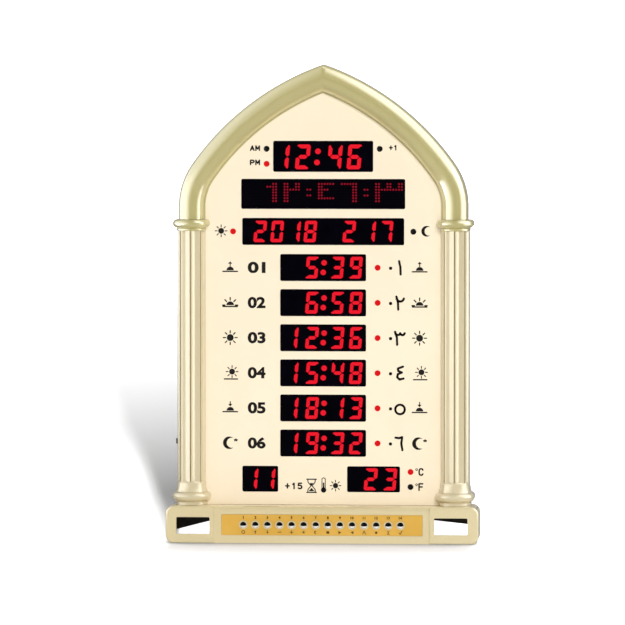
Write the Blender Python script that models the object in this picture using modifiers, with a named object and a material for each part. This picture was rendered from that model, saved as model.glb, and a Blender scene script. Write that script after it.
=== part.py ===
"""Azan clock: a mosque-arch wall and table clock with LED displays, built as an assembly.

Units are metres. X runs across the front, Y runs from the front to the wall, and Z is up.
The origin is on the underside of the plinth, in the middle of the clock's width and depth.
"""
import math

import bmesh
import bpy
from mathutils import Matrix

# Fits and walls
GAP = 0.0003                    # clearance between pieces that touch
WALL = 0.0025                   # moulded housing wall
PLATE = 0.0025                  # rear cover and base back plate

# Overall depth and its planes
DEPTH = 0.064                   # plinth front to the wall
MOULDING_SETBACK = 0.030        # plinth front to the plane where the half rounds spring
FRONT_Y = -DEPTH / 2
REAR_Y = DEPTH / 2
SHOULDER_Y = FRONT_Y + MOULDING_SETBACK

# Plinth
PLINTH_WIDTH = 0.4376
PLINTH_HEIGHT = 0.052
PLINTH_WALL = 0.003
PLINTH_CORNER = 0.011           # corner radius seen from the front
PLINTH_EDGE = 0.0035            # rounding round the front face
CENTRE_WIDTH = 0.302            # set-back middle of the plinth front
CENTRE_SETBACK = 0.003
CENTRE_TOP_ROUND = 0.009
WINDOW_X = 0.1802               # middle of each end window
WINDOW_Z = 0.0246
WINDOW_WIDTH = 0.0466
WINDOW_HEIGHT = 0.0234
WINDOW_CORNER = 0.0016

# Key row
KEY_COUNT = 14
KEY_PITCH = 0.0169
KEY_Z = 0.0257
KEY_DIAMETER = 0.0084
KEY_DOME = 0.0016               # height of the domed top
KEY_TRAVEL = 0.0010
KEY_FLANGE_DIAMETER = 0.0112
KEY_FLANGE = 0.0012
KEY_RIM_DIAMETER = 0.0120       # moulded rim round each key
KEY_RIM_RISE = 0.0012
LABEL_WIDTH = 0.281
LABEL_HEIGHT = 0.0288
LABEL_THICKNESS = 0.0008

# Key switch board
SWITCH_SIZE = 0.006
SWITCH_HEIGHT = 0.0035
PLUNGER_DIAMETER = 0.0035
PLUNGER_HEIGHT = 0.0008
KEY_BOARD_WIDTH = 0.270
KEY_BOARD_HEIGHT = 0.034
BOARD = 0.0016                  # circuit board thickness
POST_DIAMETER = 0.006
KEY_POST_X = 0.126
KEY_POST_SPREAD = 0.022

# Columns
COLUMN_X = 0.1845
SHAFT_RADIUS = 0.0198
FLUTE_DEPTH = 0.0026
FLUTES_IN_FRONT = 4
FLUTE_STEPS = 6
BLOCK_RADIUS = 0.0222
BLOCK_HEIGHT = 0.0042
BASE_GROOVE = 0.0014
BASE_TORUS_RADIUS = 0.0273
BASE_TORUS_HEIGHT = 0.0123
FLARE_RADIUS = 0.0221
FLARE_HEIGHT = 0.0150
CAPITAL_TOP_Z = 0.4515
CAPITAL_TORUS_RADIUS = 0.0259
CAPITAL_TORUS_HEIGHT = 0.0112
NECK_RING_RADIUS = 0.0206
NECK_RING_HEIGHT = 0.0036
NECK_GROOVE = 0.0009
RING_STEPS = 24                 # steps of a full turn on the turned members
SMALL_STEPS = 8                 # steps round small round pieces and the holes they fit

# Arch moulding, given along the middle line of its half round
MOULDING_RADIUS = 0.0177
LIP_WIDTH = 0.0019
LIP_HEIGHT = 0.0014
ARCH_STILT = 0.0179             # straight run between the capital and the curve
ARCH_LOW_RADIUS = 0.0857
ARCH_LOW_ANGLE = math.radians(35.0)
ARCH_HIGH_RADIUS = 0.3587
ARCH_LOW_STEPS = 5
ARCH_HIGH_STEPS = 9

# Face panel
PANEL_THICKNESS = 0.003
PANEL_EDGE = 0.0170             # from the column axis in to the panel's hidden edge
PANEL_FRONT_Y = SHOULDER_Y + GAP
PANEL_BACK_Y = PANEL_FRONT_Y + PANEL_THICKNESS
OPENING_CORNER = 0.0024

# Display openings and their digits; hour and minute places are the middles of digit pairs
PRAYER_TOP_Z = 0.3843
PRAYER_PITCH = 0.04915
PRAYER_NAMES = ("dawn", "sunrise", "noon", "afternoon", "sunset", "night")
PRAYER_WIDTH = 0.1204
PRAYER_HEIGHT = 0.0378
PRAYER_HOUR_X = -0.0287
PRAYER_MINUTE_X = 0.0328
PRAYER_DIGIT_PITCH = 0.0258
PRAYER_DIGIT_HEIGHT = 0.0305
TIME_Z = 0.5397
TIME_WIDTH = 0.1400
TIME_HEIGHT = 0.0434
TIME_HOUR_X = -0.0426
TIME_MINUTE_X = 0.0305
TIME_DIGIT_PITCH = 0.0277
TIME_DIGIT_HEIGHT = 0.0350
MESSAGE_Z = 0.4872
MESSAGE_WIDTH = 0.2296
MESSAGE_HEIGHT = 0.0420
MATRIX_MODULES = 7
MATRIX_MODULE = 0.0320
DATE_Z = 0.4347
DATE_WIDTH = 0.2268
DATE_HEIGHT = 0.0378
YEAR_X = -0.0527
MONTH_X = 0.0245
DAY_X = 0.0756
DATE_DIGIT_PITCH = 0.0236
DATE_DIGIT_HEIGHT = 0.0308
LOWER_Z = 0.0882
LOWER_HEIGHT = 0.0364
COUNTDOWN_X = -0.0882
COUNTDOWN_WIDTH = 0.0504
TEMPERATURE_X = 0.0707
TEMPERATURE_WIDTH = 0.0742
LOWER_DIGIT_PITCH = 0.0240
LOWER_DIGIT_HEIGHT = 0.0305
DIGIT_ASPECT = 0.58             # width of a digit field over its height
DIGIT_SLANT = math.radians(5.2)
DIGIT_WELL = 0.0005
LENS_SETBACK = 0.0006
DISPLAY_FLANGE = 0.0030
DISPLAY_FIT = 0.0004

# Indicator lamps; the gaps run from the side of a display opening to the lamp's middle
LAMP_DIAMETER = 0.0068
LAMP_PROUD = 0.0011             # how far the dome stands in front of the panel
LAMP_DOME = 0.0016
LAMP_FLANGE_DIAMETER = 0.0084
LAMP_FLANGE = 0.0010
LAMP_SPACER_DIAMETER = 0.0050
LAMP_FIT = 0.0002
TIME_LAMP_GAP = 0.0091
CALENDAR_LAMP_GAP = 0.0128
PRAYER_LAMP_GAP = 0.0161
UNIT_LAMP_GAP = 0.0147
LAMP_PAIR_PITCH = 0.0210

# Main board and what it carries
BOARD_FRONT_Y = 0.0095
MAIN_BOARD_WIDTH = 0.262
MAIN_BOARD_BOTTOM = 0.064
MAIN_BOARD_TOP = 0.566
MAIN_BOARD_SHOULDER_Z = 0.520   # above it the board narrows to clear the arch
MAIN_BOARD_TOP_WIDTH = 0.170
CELL_DIAMETER = 0.020
CELL_THICKNESS = 0.0032
CELL_X = 0.070
CELL_Z = 0.300

# Rear cover
COVER_BOSS_DIAMETER = 0.0076
SIDE_BOSS_INSET = 0.0345         # from the column axis
SIDE_BOSS_LOW_Z = 0.080
SIDE_BOSS_HIGH_Z = 0.300
TOP_BOSS_X = 0.098
TOP_BOSS_Z = 0.556
PILOT_DIAMETER = 0.0036
PILOT_DEPTH = 0.014
SCREW_DIAMETER = 0.0030
SCREW_LENGTH = 0.012
SCREW_HEAD_DIAMETER = 0.0064
SCREW_HEAD = 0.0010
SCREW_SEAT_DIAMETER = 0.0072
SCREW_SEAT_DEPTH = 0.0014
STANDOFF_DIAMETER = 0.0070
STANDOFF_X = 0.112
STANDOFF_LOW_Z = 0.150
STANDOFF_HIGH_Z = 0.410
KEYHOLE_X = 0.095
KEYHOLE_Z = 0.478
KEYHOLE_HEAD_RADIUS = 0.0050
KEYHOLE_SLOT_RADIUS = 0.0024
KEYHOLE_RISE = 0.0110
GRILLE_Z = 0.205
GRILLE_SLOTS = 7
GRILLE_PITCH = 0.0065
GRILLE_SLOT_HEIGHT = 0.0028
VENT_Z = 0.520
VENT_SLOTS = 4
VENT_WIDTH = 0.060

# Speaker
SPEAKER_DIAMETER = 0.057
SPEAKER_DEPTH = 0.0160
SPEAKER_FLANGE = 0.0016
MAGNET_DIAMETER = 0.030
MAGNET_DEPTH = 0.0070
CONE_DEPTH = 0.0070

# Power socket in the left column
SOCKET_Y = 0.012
SOCKET_Z = 0.140
SOCKET_COLLAR_DIAMETER = 0.0078
SOCKET_PROUD = 0.0030
SOCKET_BORE_DIAMETER = 0.0055
SOCKET_BORE_DEPTH = 0.0090
SOCKET_PIN_DIAMETER = 0.0020
SOCKET_BODY_WIDTH = 0.0100
SOCKET_BODY_HEIGHT = 0.0120
SOCKET_BODY_DEPTH = 0.0130

# Slanted lower edges of the base back plate, seen through the plinth windows: heights
PLATE_NOTCH_X = 0.1530
LEFT_NOTCH_OUTER_Z = 0.0156
LEFT_NOTCH_INNER_Z = 0.0277
RIGHT_NOTCH_OUTER_Z = 0.0232
RIGHT_NOTCH_INNER_Z = 0.0285

# Planes worked out from the sizes above
PLINTH_HALF = PLINTH_WIDTH / 2
PLINTH_TOP = PLINTH_HEIGHT
CENTRE_FRONT_Y = FRONT_Y + CENTRE_SETBACK
LABEL_FLOOR_Y = CENTRE_FRONT_Y + LABEL_THICKNESS + GAP
CENTRE_INNER_Y = LABEL_FLOOR_Y + PLINTH_WALL
COVER_INNER_Y = REAR_Y - PLATE
SWITCH_TIP_Y = CENTRE_INNER_Y + GAP + KEY_FLANGE + KEY_TRAVEL + GAP
KEY_BOARD_Y = SWITCH_TIP_Y + PLUNGER_HEIGHT + SWITCH_HEIGHT
ARCH_FOOT_Z = CAPITAL_TOP_Z + GAP
ARCH_SPRING_Z = CAPITAL_TOP_Z + ARCH_STILT
POCKET_RADIUS = SHAFT_RADIUS - FLUTE_DEPTH - WALL
COVER_EDGE = MOULDING_RADIUS - WALL - GAP
COVER_SIDE = SHAFT_RADIUS - WALL - GAP
WELD = 1e-6

GOLD = ("gilded plastic", (0.70, 0.58, 0.34), 0.30, 0.60)
CREAM = ("cream panel", (0.98, 0.90, 0.68), 0.55, 0.0)
BLACK_LENS = ("black display", (0.01, 0.01, 0.01), 0.25, 0.0)
BLACK_PLASTIC = ("black plastic", (0.02, 0.02, 0.02), 0.55, 0.0)
AMBER = ("amber key label", (0.80, 0.45, 0.07), 0.45, 0.0)
CHROME = ("chromed key", (0.75, 0.75, 0.76), 0.12, 1.0)
RED_LAMP = ("lit red lamp", (0.65, 0.0, 0.01), 0.25, 0.0)
DARK_LAMP = ("unlit lamp", (0.01, 0.01, 0.01), 0.3, 0.0)
GREEN_BOARD = ("circuit board", (0.02, 0.18, 0.07), 0.5, 0.0)
STEEL = ("plated steel", (0.55, 0.55, 0.54), 0.35, 1.0)


# Scene and helpers


def clear_scene():
    """Remove whatever the scene holds."""
    for item in list(bpy.data.objects):
        bpy.data.objects.remove(item, do_unlink=True)


def new_collection(name):
    collection = bpy.data.collections.new(name)
    bpy.context.scene.collection.children.link(collection)
    return collection


def finish_material(finish):
    """A Principled material for a named finish, made once."""
    label, colour, roughness, metallic = finish
    material = bpy.data.materials.get(label)
    if material is None:
        material = bpy.data.materials.new(label)
        material.use_nodes = True
        shader = material.node_tree.nodes["Principled BSDF"]
        shader.inputs["Base Color"].default_value = (*colour, 1.0)
        shader.inputs["Roughness"].default_value = roughness
        shader.inputs["Metallic"].default_value = metallic
    return material


def keep_as_part(piece, finish):
    """Put a finished piece with the clock's parts."""
    PARTS.objects.link(piece)
    HELPERS.objects.unlink(piece)
    piece.hide_render = False
    piece.display_type = "TEXTURED"
    piece.data.materials.clear()
    piece.data.materials.append(finish_material(finish))
    return piece


def new_helper(name, data):
    """A working solid: it stays a helper unless keep_as_part takes it."""
    piece = bpy.data.objects.new(name, data)
    HELPERS.objects.link(piece)
    piece.hide_render = True
    piece.display_type = "WIRE"
    return piece


def from_bmesh(name, shape):
    """Close a bmesh into an object with its faces pointing out."""
    bmesh.ops.remove_doubles(shape, verts=shape.verts, dist=WELD)
    bmesh.ops.recalc_face_normals(shape, faces=shape.faces)
    data = bpy.data.meshes.new(name)
    shape.to_mesh(data)
    shape.free()
    data.shade_smooth()
    data.set_sharp_from_angle(angle=math.radians(35.0))
    return new_helper(name, data)


def evaluated_bmesh(piece):
    """The piece's evaluated mesh, in its own coordinates."""
    bpy.context.view_layer.update()
    depsgraph = bpy.context.evaluated_depsgraph_get()
    data = bpy.data.meshes.new_from_object(piece.evaluated_get(depsgraph))
    shape = bmesh.new()
    shape.from_mesh(data)
    bpy.data.meshes.remove(data)
    return shape


def as_mesh(curve_piece):
    """Turn a curve object into a welded mesh object in the same place."""
    name = curve_piece.name
    single_outline = len(curve_piece.data.splines) == 1
    curve_piece.name = name + "_curve"
    shape = evaluated_bmesh(curve_piece)
    bmesh.ops.remove_doubles(shape, verts=shape.verts, dist=WELD)
    if single_outline:
        bmesh.ops.dissolve_limit(shape, angle_limit=math.radians(0.1),
                                 verts=shape.verts, edges=shape.edges)
    piece = from_bmesh(name, shape)
    piece.matrix_world = curve_piece.matrix_world
    bpy.data.objects.remove(curve_piece, do_unlink=True)
    return piece


def boolean(piece, other, operation):
    modifier = piece.modifiers.new(operation.lower() + "_" + other.name, "BOOLEAN")
    modifier.operation = operation
    modifier.solver = "EXACT"
    modifier.object = other


def cut(piece, *cutters):
    for cutter in cutters:
        boolean(piece, cutter, "DIFFERENCE")


def join(piece, *additions):
    for addition in additions:
        boolean(piece, addition, "UNION")


# Rows and outlines


def row(middle, count, pitch):
    """Places of a centred row of equal steps."""
    return [middle + (index - (count - 1) / 2) * pitch for index in range(count)]


def arc(centre_x, centre_y, radius, start, end, steps):
    """Points along an arc, both ends included."""
    turn = (end - start) / steps
    angles = [start + turn * step for step in range(steps + 1)]
    return [(centre_x + radius * math.cos(a), centre_y + radius * math.sin(a)) for a in angles]


def circle(centre_x, centre_y, diameter, steps=SMALL_STEPS):
    return arc(centre_x, centre_y, diameter / 2, 0.0, math.tau, steps)[:-1]


def rounded_rectangle(centre_x, centre_y, width, height, corner, steps=2):
    points = []
    for quarter, (side_x, side_y) in enumerate(((1, 1), (-1, 1), (-1, -1), (1, -1))):
        corner_x = centre_x + side_x * (width / 2 - corner)
        corner_y = centre_y + side_y * (height / 2 - corner)
        start = quarter * math.pi / 2
        points += arc(corner_x, corner_y, corner, start, start + math.pi / 2, steps)
    return points


def arch_half(offset, low_steps, high_steps, overrun=0.0):
    """Right half of the arch, springing to apex, at an offset from the middle line."""
    low_centre_x = COLUMN_X - ARCH_LOW_RADIUS
    reach = ARCH_HIGH_RADIUS - ARCH_LOW_RADIUS
    high_centre_x = low_centre_x - reach * math.cos(ARCH_LOW_ANGLE)
    high_centre_z = ARCH_SPRING_Z - reach * math.sin(ARCH_LOW_ANGLE)
    high_radius = ARCH_HIGH_RADIUS + offset
    apex_angle = math.acos((-high_centre_x - overrun) / high_radius)
    low_arc = arc(low_centre_x, ARCH_SPRING_Z, ARCH_LOW_RADIUS + offset,
                  0.0, ARCH_LOW_ANGLE, low_steps)
    high_arc = arc(high_centre_x, high_centre_z, high_radius,
                   ARCH_LOW_ANGLE, apex_angle, high_steps)
    return low_arc + high_arc[1:]


def arch_plate_outline(offset, bottom_z):
    """Closed outline of a plate that fills the arch down to a straight bottom edge."""
    right = arch_half(offset, ARCH_LOW_STEPS, ARCH_HIGH_STEPS)
    left = [(-x, z) for x, z in reversed(right[:-1])]
    edge_x = COLUMN_X + offset
    return [(edge_x, bottom_z)] + right + left + [(-edge_x, bottom_z)]


# Solids from outlines and profiles

PLANE_TURNS = {
    "X": (math.pi / 2, 0.0, math.pi / 2),
    "Y": (math.pi / 2, 0.0, 0.0),
    "Z": (0.0, 0.0, 0.0),
}


def prism(name, loops, low, high, axis):
    """Flat outlines (the first outside, the rest holes) carried along one axis."""
    data = bpy.data.curves.new(name, "CURVE")
    data.dimensions = "2D"
    data.fill_mode = "BOTH"
    data.extrude = (high - low) / 2
    for loop in loops:
        spline = data.splines.new("POLY")
        spline.points.add(len(loop) - 1)
        for point, (x, y) in zip(spline.points, loop):
            point.co = (x, y, 0.0, 1.0)
        spline.use_cyclic_u = True
    piece = new_helper(name, data)
    piece.rotation_euler = PLANE_TURNS[axis]
    piece.location["XYZ".index(axis)] = (low + high) / 2
    return as_mesh(piece)


def box(name, low, high):
    """A plain box between two corners."""
    shape = bmesh.new()
    bmesh.ops.create_cube(shape, size=1.0)
    for vert in shape.verts:
        for axis in range(3):
            middle = (low[axis] + high[axis]) / 2
            vert.co[axis] = middle + vert.co[axis] * (high[axis] - low[axis])
    return from_bmesh(name, shape)


def rods(name, places, diameter, front_y, back_y, steps=SMALL_STEPS):
    """Round rods along Y at (X, Z) places, as one helper."""
    shape = bmesh.new()
    for x, z in places:
        made = bmesh.ops.create_cone(shape, cap_ends=True, segments=steps,
                                     radius1=diameter / 2, radius2=diameter / 2,
                                     depth=back_y - front_y)
        bmesh.ops.rotate(shape, verts=made["verts"], matrix=Matrix.Rotation(math.pi / 2, 3, "X"))
        middle = (x, (front_y + back_y) / 2, z)
        bmesh.ops.translate(shape, verts=made["verts"], vec=middle)
    return from_bmesh(name, shape)


def turned(name, profile, steps):
    """A profile of (radius, height) points, top to bottom, turned about Z."""
    data = bpy.data.meshes.new(name)
    verts = [(radius, 0.0, height) for radius, height in profile]
    edges = [(index, index + 1) for index in range(len(profile) - 1)]
    data.from_pydata(verts, edges, [])
    piece = new_helper(name, data)
    screw = piece.modifiers.new("turn", "SCREW")
    screw.axis = "Z"
    screw.angle = math.tau
    screw.steps = steps
    screw.render_steps = steps
    screw.use_merge_vertices = True
    screw.merge_threshold = WELD
    screw.use_smooth_shade = True
    return piece


def half_turned(name, profile, carried_back):
    """A turned solid cut through its axis, with its flat side carried straight back."""
    whole = turned(name + "_turning", profile, RING_STEPS)
    shape = evaluated_bmesh(whole)
    bpy.data.objects.remove(whole, do_unlink=True)
    everything = shape.verts[:] + shape.edges[:] + shape.faces[:]
    bmesh.ops.bisect_plane(shape, geom=everything, dist=WELD, plane_co=(0, 0, 0),
                           plane_no=(0, 1, 0), clear_outer=True)
    rim = [edge for edge in shape.edges if edge.is_boundary]
    grown = bmesh.ops.extrude_edge_only(shape, edges=rim)["geom"]
    moved = [item for item in grown if isinstance(item, bmesh.types.BMVert)]
    bmesh.ops.translate(shape, verts=moved, vec=(0.0, carried_back, 0.0))
    back_rim = [edge for edge in shape.edges if edge.is_boundary]
    bmesh.ops.contextual_create(shape, geom=back_rim)
    return from_bmesh(name, shape)


# Columns


def base_profile():
    """Outer side of a column base, top to bottom: flare, torus, groove and block."""
    block_z = PLINTH_TOP + GAP
    groove_z = block_z + BLOCK_HEIGHT
    torus_z = groove_z + BASE_GROOVE
    flare_z = torus_z + BASE_TORUS_HEIGHT
    top_z = flare_z + FLARE_HEIGHT
    swell = BASE_TORUS_HEIGHT / 2
    points = [(0.0, top_z), (SHAFT_RADIUS - FLUTE_DEPTH / 2, top_z)]
    for step in range(1, 6):
        fall = step / 5
        spread = (FLARE_RADIUS - SHAFT_RADIUS - GAP) * fall ** 2
        points.append((SHAFT_RADIUS + GAP + spread, top_z - FLARE_HEIGHT * (0.08 + 0.89 * fall)))
    points += arc(BASE_TORUS_RADIUS - swell, torus_z + swell, swell,
                  math.radians(84), math.radians(-84), 8)
    points += [(BLOCK_RADIUS - BASE_GROOVE, groove_z), (BLOCK_RADIUS, groove_z - GAP),
               (BLOCK_RADIUS, block_z), (0.0, block_z)]
    return points


def capital_profile():
    """Outer side of a capital, top to bottom: torus, groove and neck ring."""
    swell = CAPITAL_TORUS_HEIGHT / 2
    ring_z = CAPITAL_TOP_Z - CAPITAL_TORUS_HEIGHT - NECK_GROOVE
    ring_bottom = ring_z - NECK_RING_HEIGHT
    edge = NECK_RING_HEIGHT / 4
    points = [(0.0, CAPITAL_TOP_Z)]
    points += arc(CAPITAL_TORUS_RADIUS - swell, CAPITAL_TOP_Z - swell, swell,
                  math.radians(90), math.radians(-84), 8)
    points += [(SHAFT_RADIUS, ring_z), (NECK_RING_RADIUS, ring_z - edge),
               (NECK_RING_RADIUS, ring_bottom + edge), (SHAFT_RADIUS + GAP, ring_bottom),
               (0.0, ring_bottom)]
    return points


def fluted_outline(carried_back):
    """Plan of the shaft: hollow flutes between soft arrises in front, flat sides behind."""
    points = [(-SHAFT_RADIUS, carried_back)]
    steps = FLUTES_IN_FRONT * FLUTE_STEPS
    for step in range(steps + 1):
        angle = math.pi + math.pi * step / steps
        across = (step % FLUTE_STEPS) / FLUTE_STEPS
        radius = SHAFT_RADIUS - FLUTE_DEPTH * math.sin(math.pi * across) ** 2
        points.append((radius * math.cos(angle), radius * math.sin(angle)))
    points.append((SHAFT_RADIUS, carried_back))
    return points


def make_column(name, side):
    """A fluted half column: base, shaft and capital, hollow and open at the back.

    The three members reach past the wall plane by unlike amounts, and the pocket trims
    them flush there.
    """
    depth = REAR_Y - SHOULDER_Y
    bottom_z = PLINTH_TOP + GAP
    base = half_turned(name, base_profile(), depth + WALL)
    shaft_low = bottom_z + BLOCK_HEIGHT + BASE_GROOVE + BASE_TORUS_HEIGHT + FLARE_HEIGHT / 2
    shaft_high = CAPITAL_TOP_Z - CAPITAL_TORUS_HEIGHT - NECK_GROOVE - NECK_RING_HEIGHT / 2
    shaft = prism(name + "_shaft", [fluted_outline(depth + 2 * WALL)], shaft_low, shaft_high, "Z")
    capital = half_turned(name + "_capital", capital_profile(), depth + 3 * WALL)
    far = 2 * BASE_TORUS_RADIUS
    inside_wall = side * (SHAFT_RADIUS - WALL)
    seat_y = -GAP / 3
    hollow = [(-side * far, seat_y), (-side * POCKET_RADIUS, seat_y)]
    hollow += arc(0.0, 0.0, POCKET_RADIUS, math.pi * (1.5 - side / 2),
                  math.pi * (1.5 + side / 2), 12)
    hollow += [(inside_wall, GAP), (inside_wall, depth), (side * far, depth),
               (side * far, far), (-side * far, far)]
    pocket = prism(name + "_pocket", [hollow], bottom_z - far, CAPITAL_TOP_Z + far, "Z")
    join(base, shaft, capital)
    cut(base, pocket)
    for piece in (base, shaft, capital, pocket):
        piece.location.x += side * COLUMN_X
        piece.location.y += SHOULDER_Y
    return keep_as_part(base, GOLD)


# Arch


def arch_section():
    """Section of the moulding across its path: X points outward, Y to the back."""
    inner_radius = MOULDING_RADIUS - WALL
    back = REAR_Y - SHOULDER_Y
    lip_start = math.asin(LIP_HEIGHT / MOULDING_RADIUS) - math.pi
    lip_edge = -MOULDING_RADIUS - LIP_WIDTH
    points = [(MOULDING_RADIUS, back)]
    points += arc(0.0, 0.0, MOULDING_RADIUS, 0.0, lip_start, 10)
    points += [(lip_edge, -LIP_HEIGHT), (lip_edge, 0.0)]
    points += arc(0.0, 0.0, inner_radius, -math.pi, 0.0, 6)
    points += [(inner_radius, back)]
    return points


def make_arch():
    """The hollow half-round moulding, swept up the right side and mirrored at the apex."""
    section = bpy.data.curves.new("arch_section", "CURVE")
    section.dimensions = "2D"
    outline = section.splines.new("POLY")
    points = arch_section()
    outline.points.add(len(points) - 1)
    for point, (outward, back) in zip(outline.points, points):
        point.co = (outward, -back, 0.0, 1.0)
    outline.use_cyclic_u = True
    section_piece = new_helper("arch_section", section)

    path = bpy.data.curves.new("arch_frame", "CURVE")
    path.dimensions = "2D"
    path.fill_mode = "NONE"
    path.bevel_mode = "OBJECT"
    path.bevel_object = section_piece
    path.use_fill_caps = True
    route = [(COLUMN_X, ARCH_FOOT_Z)] + arch_half(0.0, ARCH_LOW_STEPS, ARCH_HIGH_STEPS,
                                                   overrun=MOULDING_RADIUS)
    spline = path.splines.new("POLY")
    spline.points.add(len(route) - 1)
    for point, (x, z) in zip(spline.points, route):
        point.co = (x, z, 0.0, 1.0)
    path_piece = new_helper("arch_frame", path)
    path_piece.rotation_euler = PLANE_TURNS["Y"]
    path_piece.location.y = SHOULDER_Y
    arch = as_mesh(path_piece)
    bpy.data.objects.remove(section_piece, do_unlink=True)
    mirror = arch.modifiers.new("left half", "MIRROR")
    mirror.use_axis[0] = True
    mirror.use_bisect_axis[0] = True
    mirror.use_clip = True
    mirror.merge_threshold = WELD
    return keep_as_part(arch, GOLD)


# Plinth


def key_places():
    return [(x, KEY_Z) for x in row(0.0, KEY_COUNT, KEY_PITCH)]


def post_places():
    rise = KEY_POST_SPREAD / 2
    return [(side * KEY_POST_X, KEY_Z + step) for side in (-1, 1) for step in (-rise, rise)]


def make_plinth():
    """Hollow plinth: rounded box, set-back middle, end windows, key rims and board posts."""
    outline = rounded_rectangle(0.0, PLINTH_HEIGHT / 2, PLINTH_WIDTH, PLINTH_HEIGHT,
                                PLINTH_CORNER, 6)
    plinth = prism("base_plinth", [outline], FRONT_Y, REAR_Y, "Y")
    weights = plinth.data.attributes.new("bevel_weight_edge", "FLOAT", "EDGE")
    front = DEPTH / 2
    for edge in plinth.data.edges:
        ends = [plinth.data.vertices[index].co.z for index in edge.vertices]
        along_outline = all(abs(end - front) < WELD for end in ends)
        weights.data[edge.index].value = 1.0 if along_outline else 0.0
    rounding = plinth.modifiers.new("rounded front edge", "BEVEL")
    rounding.limit_method = "WEIGHT"
    rounding.width = PLINTH_EDGE
    rounding.segments = 3

    far = DEPTH
    top_y = CENTRE_FRONT_Y + CENTRE_TOP_ROUND
    middle_cut = [(FRONT_Y - far, -far), (CENTRE_FRONT_Y, -far)]
    middle_cut += arc(top_y, PLINTH_TOP - CENTRE_TOP_ROUND, CENTRE_TOP_ROUND,
                      math.pi, math.pi / 2, 5)
    middle_cut += [(top_y, PLINTH_TOP + far), (FRONT_Y - far, PLINTH_TOP + far)]
    half_centre = CENTRE_WIDTH / 2
    set_back = prism("centre_setback", [middle_cut], -half_centre, half_centre, "X")

    label_half = LABEL_WIDTH / 2 + GAP
    label_rise = LABEL_HEIGHT / 2 + GAP
    label_seat = box("label_seat", (-label_half, FRONT_Y - far, KEY_Z - label_rise),
                     (label_half, LABEL_FLOOR_Y, KEY_Z + label_rise))

    inner_half = PLINTH_HALF - PLINTH_WALL
    cavity = box("plinth_cavity", (-inner_half, CENTRE_INNER_Y, PLINTH_WALL),
                 (inner_half, REAR_Y + far, PLINTH_TOP - PLINTH_WALL))
    cutters = [set_back, label_seat, cavity]
    for side, word in ((-1, "left"), (1, "right")):
        near, outer = sorted((side * (half_centre + PLINTH_WALL), side * inner_half))
        pocket = box(word + "_end_pocket", (near, FRONT_Y + PLINTH_WALL, PLINTH_WALL),
                     (outer, REAR_Y, PLINTH_TOP - PLINTH_WALL))
        opening = rounded_rectangle(side * WINDOW_X, WINDOW_Z, WINDOW_WIDTH, WINDOW_HEIGHT,
                                    WINDOW_CORNER, 2)
        window = prism(word + "_window", [opening], FRONT_Y - far, CENTRE_INNER_Y + WALL, "Y")
        cutters += [pocket, window]
    cut(plinth, *cutters)

    rims = rods("key_rims", key_places(), KEY_RIM_DIAMETER, CENTRE_FRONT_Y - KEY_RIM_RISE,
                CENTRE_INNER_Y - WALL / 2)
    posts = rods("board_posts", post_places(), POST_DIAMETER, CENTRE_INNER_Y - WALL / 2,
                 KEY_BOARD_Y - GAP)
    join(plinth, rims, posts)
    holes = rods("key_holes", key_places(), KEY_DIAMETER + 2 * GAP, FRONT_Y - far,
                 CENTRE_INNER_Y + WALL / 2)
    cut(plinth, holes)
    return keep_as_part(plinth, GOLD)


def make_base_back_plate():
    """Black plate that closes the plinth, cut away on a slant behind each window."""
    half = PLINTH_HALF - PLINTH_WALL - GAP
    low = PLINTH_WALL + GAP
    high = PLINTH_TOP - PLINTH_WALL - GAP
    outer_x = WINDOW_X + WINDOW_WIDTH / 2
    inner_x = WINDOW_X - WINDOW_WIDTH / 2

    def slant(outer_z, inner_z, at_x):
        return outer_z + (inner_z - outer_z) * (outer_x - at_x) / (outer_x - inner_x)

    outline = [
        (-PLATE_NOTCH_X, low), (PLATE_NOTCH_X, low),
        (PLATE_NOTCH_X, slant(RIGHT_NOTCH_OUTER_Z, RIGHT_NOTCH_INNER_Z, PLATE_NOTCH_X)),
        (half, slant(RIGHT_NOTCH_OUTER_Z, RIGHT_NOTCH_INNER_Z, half)),
        (half, high), (-half, high),
        (-half, slant(LEFT_NOTCH_OUTER_Z, LEFT_NOTCH_INNER_Z, half)),
        (-PLATE_NOTCH_X, slant(LEFT_NOTCH_OUTER_Z, LEFT_NOTCH_INNER_Z, PLATE_NOTCH_X)),
    ]
    plate = prism("base_back_plate", [outline], COVER_INNER_Y, REAR_Y, "Y")
    return keep_as_part(plate, BLACK_PLASTIC)


def make_key_label():
    """Amber label strip round the moulded key rims."""
    outline = rounded_rectangle(0.0, KEY_Z, LABEL_WIDTH, LABEL_HEIGHT, LABEL_THICKNESS, 2)
    holes = [circle(x, z, KEY_RIM_DIAMETER + 2 * GAP) for x, z in key_places()]
    strip = prism("key_label_plate", [outline] + holes, CENTRE_FRONT_Y,
                  CENTRE_FRONT_Y + LABEL_THICKNESS, "Y")
    return keep_as_part(strip, AMBER)


def key_profile():
    """Key seen from its axis, front to back: dome, stem and retaining flange."""
    radius = KEY_DIAMETER / 2
    flange_front = -GAP
    stem_front = CENTRE_INNER_Y - CENTRE_FRONT_Y + KEY_RIM_RISE - GAP
    points = []
    for step in range(3):
        angle = math.pi / 2 * step / 2
        points.append((radius * math.sin(angle), stem_front + KEY_DOME * math.cos(angle)))
    flange_radius = KEY_FLANGE_DIAMETER / 2
    points += [(radius, flange_front), (flange_radius, flange_front),
               (flange_radius, flange_front - KEY_FLANGE), (0.0, flange_front - KEY_FLANGE)]
    return points


def make_keys():
    for index, (x, z) in enumerate(key_places(), 1):
        key = turned(f"key_{index:02d}", key_profile(), SMALL_STEPS)
        key.rotation_euler.x = math.pi / 2
        key.location = (x, CENTRE_INNER_Y, z)
        keep_as_part(key, CHROME)


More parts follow.
